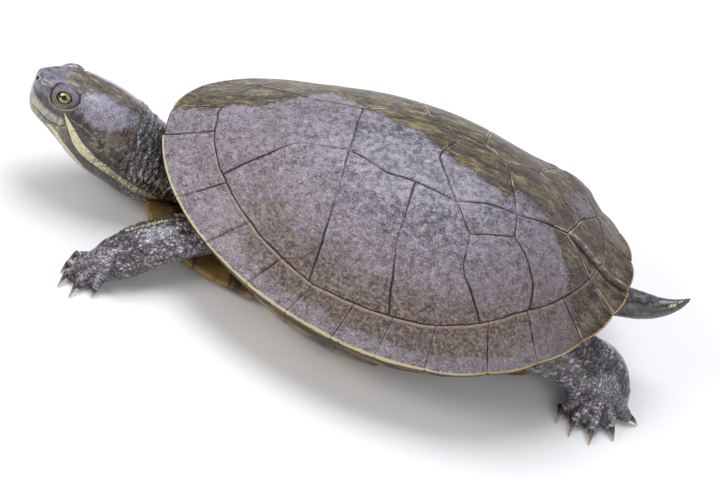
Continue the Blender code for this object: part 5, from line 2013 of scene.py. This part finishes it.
class Wiring:
    """A procedural material in the making."""

    def __init__(self, name: str) -> None:
        """Start a material with a Principled shader.

        Args:
            name: The material's name.
        """
        self.material = bpy.data.materials.new(name)
        self.material.use_nodes = True
        self.tree = self.material.node_tree
        self.place = self.node("TexCoord", {}, "Object")

    def node(self, kind: str, inputs: dict, output: int | str, **settings: object) -> Shade:
        """Add a node.

        Args:
            kind: the end of its type's name.
            inputs: values or shades for its inputs.
            output: which output to return.
            settings: values of its properties.
        Returns:
            The output.
        """
        node = self.tree.nodes.new(f"ShaderNode{kind}")
        for name, value in settings.items():
            setattr(node, name, value)
        for name, value in inputs.items():
            self.put(node.inputs[name], value)
        return Shade(self, node.outputs[output])

    def put(self, socket: bpy.types.NodeSocket, value: object) -> None:
        """Link or set one input, three numbers being a screen colour where a colour goes.

        Args:
            socket: The input.
            value: A shade, a number, or three numbers.
        """
        if isinstance(value, Shade):
            self.tree.links.new(value.socket, socket)
        elif socket.type == "RGBA" and len(value) == 3:
            socket.default_value = linear(*value)
        else:
            socket.default_value = value

    def stored(self, name: str) -> Shade:
        """A number that the mesh holds."""
        return self.node("Attribute", {}, "Fac", attribute_name=name)

    def noise(self, scale: float | Point, detail: float = 3.0, rough: float = 0.55) -> Shade:
        """Noise from 0 to 1, with one scale, or one for each axis, in features per metre.

        Args:
            scale: Features per metre.
            detail: Octaves.
            rough: Share that each octave keeps.

        Returns:
            The noise.
        """
        place = self.place
        if isinstance(scale, tuple):
            place, scale = self.node("Mapping", {"Vector": place, "Scale": scale}, "Vector"), 1.0
        return self.node("TexNoise", {"Vector": place, "Scale": scale, "Detail": detail,
                                      "Roughness": rough}, "Fac")

    def cells(self, run: Shade, turn: Shade) -> tuple[Shade, Shade]:
        """Distances to the edge, and random shades, of cells on a flat map.

        Args:
            run: Place along the map.
            turn: Place across the map.

        Returns:
            Edge distances, then shades.
        """
        place = {"Vector": self.node("CombineXYZ", {0: run, 1: turn}, 0), "Scale": 1.0}
        return (self.node("TexVoronoi", place, "Distance", feature="DISTANCE_TO_EDGE"),
                self.node("TexVoronoi", place, "Color"))

    def bump(self, *layers: tuple[Shade, float]) -> Shade:
        """Relief from heights between 0 and 1 and their depths in metres.

        Args:
            layers: Pairs of a height and a depth.

        Returns:
            The bent normal.
        """
        found: dict[str, Shade] = {}
        for height, depth in layers:
            inputs = {"Strength": 1.0, "Distance": depth, "Height": height} | found
            found = {"Normal": self.node("Bump", inputs, "Normal")}
        return found["Normal"]

    def finish(self, colour: object, roughness: object, normal: Shade | None = None,
               coat: float = 0.0, coat_roughness: float = 0.1) -> bpy.types.Material:
        """Wire the shader.

        Args:
            colour: base colour.
            roughness: roughness.
            normal: relief.
            coat: weight of the clear coat.
            coat_roughness: its roughness.
        Returns:
            The material.
        """
        inputs = {"Base Color": colour, "Roughness": roughness, "Coat Weight": coat,
                  "Coat Roughness": coat_roughness} | ({"Normal": normal} if normal else {})
        for name, value in inputs.items():
            self.put(self.tree.nodes["Principled BSDF"].inputs[name], value)
        return self.material


@dataclass(frozen=True)
class Horn:
    """Wet speckled horn, lilac partly from painted sky reflection, with mossy streaks, pale seams and a
    cream rim, in screen colours.
    """

    # Lilac: the horn's grey bloom with a painted sky reflection laid in.
    lilac_sheen_dark: Point = (72, 66, 75)
    lilac_sheen: Point = (142, 136, 151)
    flank_brown: Point = (126, 115, 117)
    fleck: Point = (184, 178, 192)
    pit: Point = (44, 38, 42)
    moss_dark: Point = (17, 13, 8)
    moss_brown: Point = (64, 48, 32)
    moss: Point = (92, 84, 46)
    moss_light: Point = (150, 131, 96)
    mottle: Point = (74, 57, 46)
    mottle_light: Point = (114, 96, 82)
    mottle_spot: Point = (156, 130, 92)
    dim: Point = (84, 76, 78)
    rear: Point = (116, 101, 76)
    groove: Point = (58, 47, 36)
    dark: Point = (14, 10, 8)
    pink: Point = (206, 186, 178)
    ridge: Point = (132, 110, 98)
    cream: Point = (204, 188, 146)
    amber: Point = (168, 132, 72)
    side: Point = (38, 30, 23)
    under: Point = (122, 96, 54)

    def make(self) -> bpy.types.Material:
        """The horn of the back and the rim.

        Returns:
            The material.
        """
        w = Wiring("horn")
        broad, middle, fine = w.noise(48.0, 4.0), w.noise(300.0, 5.0, 0.66), w.noise(1150.0, 2.0, 0.7)
        along, out, ridge = w.stored("lengthwise"), w.stored("outness"), w.stored("ridge")
        # Lilac base, partly the horn's grey bloom and partly painted sky reflection, turning browner
        # towards the rim.
        colour = broad.blend(middle, 0.62).span(0.38, 0.62).between(self.lilac_sheen_dark, self.lilac_sheen)
        colour = colour.painted(self.flank_brown, (out + broad.off(0.7)).span(0.25, 0.7, 0.0, 0.65))
        colour = colour.painted(self.fleck, fine.blend(middle, 0.3).span(0.52, 0.64, 0.0, 0.8))
        colour = colour.painted(self.pit, fine.blend(middle, 0.45).span(0.47, 0.37, 0.0, 0.85))
        streak = w.noise((34.0, 270.0, 270.0), 5.0, 0.66)
        hair = w.noise((150.0, 1000.0, 1000.0), 3.0, 0.6)
        patch = streak.blend(hair, 0.5).blend(w.noise(85.0, 4.0), 0.22)
        moss = patch.ramp((0.42, self.moss_dark), (0.48, self.moss_brown), (0.53, self.moss),
                          (0.6, self.moss_light))
        moss = moss.painted(self.fleck, fine.span(0.58, 0.72, 0.0, 0.4))
        ragged = streak.blend(hair, 0.35).off(3.2) + middle.off(1.5)
        mossy = (w.stored("moss") + ragged).span(0.36, 0.64)
        colour = colour.painted(moss, mossy)
        colour = colour.painted(self.dim, (along + broad.off(0.3)).span(0.05, 0.36, 0.0, 0.4))
        colour = colour.painted(patch.span(0.42, 0.6).between(self.moss_dark, self.rear),
                                (along + middle.off(0.16)).span(0.36, 0.47) * 0.8)
        spots = w.noise(620.0, 4.0, 0.65).blend(hair, 0.25)
        spots = spots.ramp((0.41, self.moss_dark), (0.48, self.mottle), (0.54, self.mottle_light),
                           (0.63, self.mottle_spot))
        blotches = w.stored("mottle") + w.noise(190.0, 5.0).off(2.2)
        colour = colour.painted(spots, blotches.span(0.2, 1.00, 0.0, 0.8))
        colour, on_margin = self.seams(w, colour, middle, mossy, out, ridge)
        lip = w.stored("lip") + w.noise(300.0, 3.0).off(0.5)
        cream = along.span(0.1, 0.36).between(self.cream, self.amber)
        colour = colour.painted(cream, lip.span(-0.1, 0.14) * on_margin * 0.92)
        side = w.noise((60.0, 60.0, 900.0), 4.0, 0.6).ramp((0.48, self.side), (0.62, self.under))
        colour = colour.painted(side, lip.span(0.75, 1.05) * on_margin)
        colour = colour.painted(self.under, lip.span(2.4, 2.8) * on_margin)
        # Painted highlight on the overlap's ridge, then painted shadow in the crease under it.
        colour = colour.painted(middle.span(0.45, 0.6).between(self.ridge, self.pink),
                                w.stored("crest") * 0.7)
        colour = colour.painted(self.dark, w.stored("crease") * 0.94)
        relief = w.bump((fine, 0.00034), (middle, 0.001), (patch * mossy, 0.0012))
        return w.finish(colour, middle.span(0.3, 0.7, 0.2, 0.44) + mossy * 0.22, relief, 0.16, 0.1)

    def seams(self, w: Wiring, colour: Shade, middle: Shade, mossy: Shade, out: Shade,
              ridge: Shade) -> tuple[Shade, Shade]:
        """Darken the seams and light up their edges.

        Args:
            w: the material.
            colour: the horn's colour.
            middle: noise of middle size.
            mossy: where moss is.
            out: way out to the rim.
            ridge: distance to the outer border, with 40 added on the marginals.
        Returns:
            The new colour, and where the marginals are.
        """
        vary = w.noise(60.0, 3.0).span(0.4, 0.56, 0.25, 1.0)
        vary = vary * w.stored("worn").span(0.0, 1.0, 1.0, 0.12)
        edge = w.stored("edge") + w.noise(330.0, 3.0).off(0.8)
        on_margin = ridge.span(34.0, 36.0)
        vary = vary * (on_margin * out.span(0.9, 0.985, 0.0, -0.75) + 1.0)
        colour = colour.painted(self.groove, edge.span(1.25, 0.35, 0.0, 0.6) * vary)
        pale = edge.span(0.28, 0.5) * edge.span(1.15, 0.75) * w.noise(120.0, 3.0).span(0.42, 0.6)
        colour = colour.painted(self.pink, pale * (mossy * 0.6 + 0.16))
        colour = colour.painted(self.dark, edge.span(0.38, 0.16, 0.0, 0.95) * vary)
        low_line = edge.span(0.85, 0.4) * out.span(0.55, 0.72) * on_margin.span(0.0, 1.0, 0.85, 0.0)
        colour = colour.painted(self.dark, low_line)
        wobble = ridge + middle.off(1.8)
        colour = colour.painted(self.dark, wobble.span(1.3, 0.6, 0.0, 0.9) * vary)
        band = wobble.span(41.9, 41.1) * on_margin * (w.stored("seam_ridge") * 0.55 + 0.3)
        return colour.painted(self.ridge, band), on_margin


@dataclass(frozen=True)
class Bone:
    """Bone at the bottom of the seams, near-black as painted shade in the gaps between plates."""

    dark: Point = (14, 10, 8)
    light: Point = (17, 13, 8)

    def make(self) -> bpy.types.Material:
        """The bone."""
        w = Wiring("bone")
        return w.finish(w.noise(300.0).between(self.dark, self.light), 0.6)


@dataclass(frozen=True)
class Plastron:
    """Yellow plastron with dark smudges and seams."""

    yellow: Point = (150, 120, 66)
    brown: Point = (112, 88, 48)
    smudge: Point = (38, 30, 23)
    seam: Point = (14, 10, 8)

    def make(self) -> bpy.types.Material:
        """The horn of the underside.

        Returns:
            The material.
        """
        w = Wiring("plastron")
        colour = w.noise(220.0, 4.0).between(self.yellow, self.brown)
        colour = colour.painted(self.smudge, w.noise(28.0, 5.0, 0.6).span(0.44, 0.6))
        colour = colour.painted(self.seam, w.stored("seam").span(0.9, 0.3, 0.0, 0.9))
        relief = w.bump((w.noise((50.0, 50.0, 700.0), 4.0, 0.6), 0.00015),
                        (w.noise(1300.0, 2.0), 0.00006))
        return w.finish(colour, 0.38, relief, 0.25, 0.15)


@dataclass(frozen=True)
class ScalySkin:
    """Dark scaly skin with pale stripes, a lilac temple that is partly painted sheen, a streaked crown,
    and painted highlight and shade on its relief and between its scales.
    """

    dark: Point = (22, 18, 18)
    brown: Point = (62, 54, 52)
    middle: Point = (122, 113, 118)
    light: Point = (196, 188, 200)
    # Near-black painted shade in the gaps between scales, neck rows and toes.
    scale_gap_shade: Point = (16, 13, 13)
    row_gap_shade: Point = (14, 11, 10)
    toe_gap_shade: Point = (20, 16, 16)
    under: Point = (78, 66, 42)
    under_light: Point = (160, 146, 98)
    tail: Point = (26, 22, 22)
    tail_light: Point = (92, 88, 92)
    fleck: Point = (138, 132, 84)
    speck: Point = (178, 160, 146)
    # Lilac for the top of the snout, a painted highlight.
    snout_dark: Point = (88, 84, 95)
    snout: Point = (140, 136, 152)
    # Temple lilac: the skin's grey with a painted sheen.
    lilac_sheen_dark: Point = (104, 98, 110)
    lilac_sheen: Point = (162, 156, 173)
    crown_dark: Point = (34, 29, 24)
    olive: Point = (82, 74, 50)
    pinkish: Point = (106, 90, 82)
    crown_light: Point = (150, 142, 146)
    rust: Point = (96, 64, 42)
    jaw_dark: Point = (84, 78, 70)
    jaw: Point = (134, 127, 104)
    jaw_light: Point = (168, 160, 122)
    beak_dark: Point = (118, 112, 106)
    cream: Point = (184, 176, 156)
    # Lids: lighter at the top as a painted highlight, with painted shade in the folds.
    lid_low: Point = (128, 120, 108)
    lid_highlight: Point = (146, 142, 156)
    lid_spot: Point = (62, 56, 54)
    lid_fold_shade: Point = (20, 16, 17)
    lid_edge: Point = (34, 27, 20)
    yellow_dark: Point = (168, 158, 116)
    yellow: Point = (214, 206, 164)
    yellow_crack_shade: Point = (62, 52, 34)
    stripe_edge: Point = (24, 20, 20)
    dots: Point = (150, 146, 92)
    nostril_rim: Point = (170, 146, 140)
    nostril: Point = (6, 4, 4)
    mouth: Point = (16, 12, 11)
    lid_fold_shades: tuple[Point, ...] = ((1.8, 0.09, 0.85), (1.21, 0.07, 0.8), (1.38, 0.05, 0.75),
                                    (1.56, 0.05, 0.7))

    def make(self) -> bpy.types.Material:
        """The skin.

        Returns:
            The material.
        """
        w = Wiring("scaly_skin")
        broad, middle, fine = w.noise(70.0, 4.0), w.noise(300.0, 5.0, 0.64), w.noise(1400.0, 3.0)
        limb, neck, toe = w.stored("limb"), w.stored("neck"), w.stored("toe")
        scales, shade = w.cells((w.stored("limb_run") + broad.off(7.0)) / 2.3,
                                (w.stored("limb_turn") + middle.off(4.0)) / 1.25)
        rows, row_shade = w.cells((w.stored("neck_run") + broad.off(5.0)) / 1.55,
                                  (w.stored("neck_turn") + middle.off(1.5)) / 2.9)
        # Painted shade in the hollows of the wrinkles and painted highlight on their ridges, from the
        # stored relief.
        depth = w.stored("relief_shade") * (limb.span(0.0, 1.0, 0.6, 0.22) + toe * 0.16)
        lit = (broad.blend(middle, 0.8) + depth + shade.off(0.42) * limb + limb * 0.19
               + toe * 0.08 + row_shade.off(0.46) * neck)
        base = lit.ramp((0.28, self.dark), (0.44, self.brown), (0.6, self.middle),
                        (0.8, self.light))
        # Painted shade in the gaps between the limbs' scales and between the neck's rows.
        base = base.painted(self.scale_gap_shade, scales.span(0.16, 0.04) * limb * 0.85)
        base = base.painted(self.row_gap_shade, rows.span(0.17, 0.04) * neck * 0.8)
        glints = fine.span(0.56, 0.7) * limb.math("ADD", neck, True)
        base = base.painted(self.light, glints * 0.72)
        # Painted shade between the toes.
        toe_wave = (w.stored("toe_run") * 2.992).math("COSINE")
        base = base.painted(self.toe_gap_shade, toe_wave.span(0.6, 0.95) * toe * 0.45)
        under = middle.blend(row_shade, 0.3).ramp((0.4, self.dark), (0.5, self.under),
                                                  (0.62, self.under_light))
        base = base.painted(under, w.stored("under") * 0.8)
        base = base.painted(middle.span(0.42, 0.66).between(self.tail, self.tail_light),
                            w.stored("tail") * 0.85)
        cheek = middle.blend(broad, 0.35).ramp((0.47, self.dark), (0.57, self.brown),
                                               (0.69, self.middle))
        base = base.painted(cheek, w.stored("head") * 0.9)
        base = self.eyelids(w, self.face(w, base, middle, fine), middle)
        base = self.marks(w, base, middle, rows)
        relief = w.bump((fine, 0.00022), (scales.span(0.0, 0.34) * limb, 0.0011),
                        (rows.span(0.0, 0.36) * neck, 0.0013), (middle, 0.0008))
        return w.finish(base, middle.span(0.3, 0.7, 0.22, 0.42), relief, 0.6, 0.16)

    def face(self, w: Wiring, base: Shade, middle: Shade, fine: Shade) -> Shade:
        """Snout, temple, crown, rusty patch, jaw and beak.

        Args:
            w: the material.
            base: the colour so far.
            middle: noise of middle size.
            fine: fine noise.
        Returns:
            The new colour.
        """
        olive = w.stored("olive")
        base = base.painted(self.fleck, olive * w.noise(380.0, 4.0).span(0.48, 0.62) * 0.85)
        base = base.painted(self.speck, olive * 0.7 * w.noise(620.0, 3.0).span(0.57, 0.68))
        # Painted highlight on the top of the snout.
        base = base.painted(middle.span(0.4, 0.64).between(self.snout_dark, self.snout),
                            w.stored("front") * 0.8)
        rag = w.noise(260.0, 5.0).off(9.0)
        temple = w.stored("temple") + rag
        # Temple, partly the skin's own grey and partly painted lilac sheen.
        lilac_sheen = fine.blend(middle, 0.4).span(0.42, 0.62).between(self.lilac_sheen_dark, self.lilac_sheen)
        base = base.painted(lilac_sheen, temple.span(-1.6, 2.4, 0.0, 0.95))
        streak = w.noise((100.0, 620.0, 620.0), 4.0, 0.6)
        crown = streak.ramp((0.38, self.crown_dark), (0.48, self.olive), (0.57, self.pinkish),
                            (0.68, self.crown_light))
        top = (w.stored("crown") + streak.off(0.8)).span(0.35, 0.75)
        base = base.painted(crown, top * temple.span(0.8, -1.6))
        rust = (w.stored("rust") + middle.off(2.2)).span(0.25, 1.15)
        base = base.painted(self.rust, rust * 0.62)
        jaw_streak = w.noise((520.0, 520.0, 120.0), 3.0, 0.6)
        jaw = jaw_streak.ramp((0.4, self.jaw_dark), (0.55, self.jaw), (0.68, self.jaw_light))
        base = base.painted(jaw, w.stored("jaw"))
        beak = w.stored("beak") + rag * 0.35
        return base.painted(jaw_streak.span(0.36, 0.66).between(self.beak_dark, self.cream),
                            beak.span(-1.8, 1.2, 0.0, 0.92))

    def eyelids(self, w: Wiring, base: Shade, middle: Shade) -> Shade:
        """Lids, lighter towards the top as a painted highlight, with painted shade in their folds and a
        pale ring.

        Args:
            w: the material.
            base: the colour so far.
            middle: noise of middle size.
        Returns:
            The new colour.
        """
        lid, rise = w.stored("lid"), w.stored("lid_rise")
        # Painted highlight: the upper lid lighter than the lower.
        lids = rise.span(-0.4, 0.5).between(self.lid_low, self.lid_highlight)
        lids = lids.painted(self.lid_spot, middle.span(0.47, 0.62, 0.0, 0.75))
        base = base.painted(lids, lid.span(1.98, 1.78))
        # Painted shade in the lid folds.
        for where, width, dark in self.lid_fold_shades:
            fold = abs(lid - where).span(width, width * 0.3, 0.0, dark)
            base = base.painted(self.lid_fold_shade, fold)
        ring = abs(lid - 2.06).span(0.12, 0.04) * rise.span(0.6, -0.8, 0.05, 0.5)
        return base.painted(self.cream, ring).painted(self.lid_edge, lid.span(1.07, 1.02))

    def marks(self, w: Wiring, base: Shade, middle: Shade, rows: Shade) -> Shade:
        """Stripes, thin lines, dots, nostrils and mouth.

        Args:
            w: the material.
            base: the colour so far.
            middle: noise of middle size.
            rows: distance to the edges of the neck's scales.
        Returns:
            The new colour.
        """
        beads = w.noise((330.0, 900.0, 900.0), 3.0, 0.6)
        yellow = beads.span(0.34, 0.52).between(self.yellow_dark, self.yellow)
        # Painted shade where the crevices between the neck's rows cross the stripe.
        crack = rows.span(0.16, 0.05) * w.stored("neck_run").span(22.0, 2.0, 0.12, 0.75)
        yellow = yellow.painted(self.yellow_crack_shade, crack)
        stripe = w.stored("pale") + middle.off(1.8)
        base = base.painted(self.stripe_edge, stripe.span(-1.6, -0.4, 0.0, 0.75))
        base = base.painted(yellow, stripe.span(-0.15, 0.3))
        thin = w.stored("thin") + middle.off(1.0)
        base = base.painted(self.cream, thin.span(-0.25, 0.2, 0.0, 0.48))
        dots = w.stored("dots") + middle.off(2.0)
        base = base.painted(self.dots, dots.span(-0.3, 0.4, 0.0, 0.85))
        nostril = w.stored("nostril")
        ring = nostril.span(1.0, 1.25) * nostril.span(2.0, 1.6) * 0.75
        base = base.painted(self.nostril_rim, ring)
        # Painted shade in the nostril's hole.
        base = base.painted(self.nostril, nostril.span(1.22, 1.00))
        # Painted shade in the groove of the mouth.
        return base.painted(self.mouth, w.stored("mouth").span(0.55, 0.25, 0.0, 0.92))


@dataclass(frozen=True)
class Eyeball:
    """Olive iris with a dark bar through the pupil."""

    iris_dark: Point = (78, 78, 26)
    iris: Point = (140, 142, 58)
    iris_light: Point = (186, 184, 110)
    warm: Point = (84, 62, 26)
    rim: Point = (18, 13, 10)
    bar: Point = (14, 12, 7)
    pupil: Point = (4, 4, 4)

    def make(self) -> bpy.types.Material:
        """The eye.

        Returns:
            The material.
        """
        w = Wiring("eyeball")
        x, y, flecks = w.stored("gaze_x"), w.stored("gaze_y"), w.noise(900.0, 4.0)
        reach = (x * x + y * y).math("SQRT")
        iris = flecks.ramp((0.36, self.iris_dark), (0.5, self.iris), (0.66, self.iris_light))
        colour = iris.painted(self.warm, (reach + flecks * 0.8).span(2.5, 3.3))
        colour = colour.painted(self.rim, reach.span(3.0, 3.5))
        bar = (abs(y) + flecks * 0.5).span(1.0, 0.6) * reach.span(3.6, 2.8)
        colour = colour.painted(self.bar, bar * 0.88)
        return w.finish(colour.painted(self.pupil, reach.span(1.42, 1.28)), 0.1, None, 1.0, 0.02)


@dataclass(frozen=True)
class ClawHorn:
    """Claws, dark at the root and tan at the tip."""

    root: Point = (34, 27, 23)
    middle: Point = (92, 74, 56)
    tip: Point = (172, 150, 118)

    def make(self) -> bpy.types.Material:
        """The claws' horn.

        Returns:
            The material.
        """
        w = Wiring("claw_horn")
        run = w.stored("claw_run") + w.noise(500.0, 3.0).off(0.35)
        colour = run.ramp((0.3, self.root), (0.62, self.middle), (0.95, self.tip))
        return w.finish(colour, 0.34, w.bump((w.noise(1400.0), 0.00005)), 0.3, 0.15)


class Finishes:
    """The model's materials."""

    def __init__(self) -> None:
        """Make them all."""
        self.shell = Horn().make()
        self.bone = Bone().make()
        self.under = Plastron().make()
        self.skin = ScalySkin().make()
        self.eye = Eyeball().make()
        self.claw = ClawHorn().make()


# ---- studio
@dataclass(frozen=True)
class Lamp:
    """A soft area light."""

    name: str
    at: Point
    size: float
    power: float
    tint: Point


@dataclass(frozen=True)
class Studio:
    """Camera, floor and light."""

    at: Point = (-0.0708, -1.1843, 1.1099)
    turn: Point = (44.52, -18.1, 14.55)
    lens: float = 156.5
    sensor: float = 36.0
    far: float = 20.0
    floor: float = 12.0
    pale: Point = (0.86, 0.86, 0.86, 1.0)
    sky: Point = (0.95, 0.96, 1.0, 1.0)
    glow: float = 0.36
    aim: Point = (0.0, 0.0, 0.05)
    lamps: tuple[Lamp, ...] = (
        Lamp("sky", (-0.15, 0.55, 1.3), 1.1, 19.0, (0.92, 0.94, 1.0)),
        Lamp("window", (-1.1, -0.7, 0.9), 0.7, 10.0, (1.0, 0.97, 0.94)),
        Lamp("fill", (0.9, -1.1, 0.7), 1.2, 6.0, (1.0, 0.98, 0.96)),
    )

    def build(self, shift: Point) -> None:
        """Set up camera, floor, lamps and the pale surroundings.

        Args:
            shift: how far the model was moved when it was centred.
        """
        scene = bpy.context.scene
        data = bpy.data.cameras.new("camera")
        data.lens = self.lens
        data.sensor_width = self.sensor
        data.clip_end = self.far
        scene.camera = link(bpy.data.objects.new("camera", data))
        axes = Euler([math.radians(angle) for angle in self.turn]).to_matrix().to_4x4()
        scene.camera.matrix_world = Matrix.Translation(Vector(self.at) + Vector(shift)) @ axes
        activate()
        bpy.ops.mesh.primitive_plane_add(size=self.floor, location=(0.0, 0.0, 0.0))
        floor = bpy.context.object
        floor.name = "floor"
        floor.data.materials.append(Wiring("pale_floor").finish(self.pale, 0.75))
        for lamp in self.lamps:
            light = bpy.data.lights.new(lamp.name, "AREA")
            light.shape = "DISK"
            light.size = lamp.size
            light.energy = lamp.power
            light.color = lamp.tint
            turn = (Vector(lamp.at) - Vector(self.aim)).to_track_quat("Z", "Y").to_matrix()
            obj = link(bpy.data.objects.new(lamp.name, light))
            obj.matrix_world = Matrix.Translation(lamp.at) @ turn.to_4x4()
        scene.world = bpy.data.worlds.new("pale_room")
        scene.world.use_nodes = True
        glow = scene.world.node_tree.nodes["Background"]
        glow.inputs["Color"].default_value = self.sky
        glow.inputs["Strength"].default_value = self.glow
        scene.view_settings.view_transform = "Standard"


def find_shift(head: HeadForm, form: ShellForm) -> Point:
    """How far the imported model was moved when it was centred, from where its left eye is."""
    middle = np.mean(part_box("eye_left"), axis=0)
    return tuple(float(v) for v in middle - form.world(head.place(np.array(head.cad_eye))))


def main() -> None:
    """Build the turtle on its frame."""
    logging.basicConfig(level=logging.INFO, format="%(message)s")
    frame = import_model()
    shift = find_shift(HeadForm(), ShellForm())
    form = ShellForm(shift=shift)
    finishes = Finishes()
    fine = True
    ShellBack(form, finishes, fine).build()
    Skin(form, finishes, fine).build()
    Eyes(form, finishes).build()
    Claws(form, finishes).build()
    Underside(form, finishes, frame).build()
    Studio().build(shift)


if __name__ == "__main__":
    main()
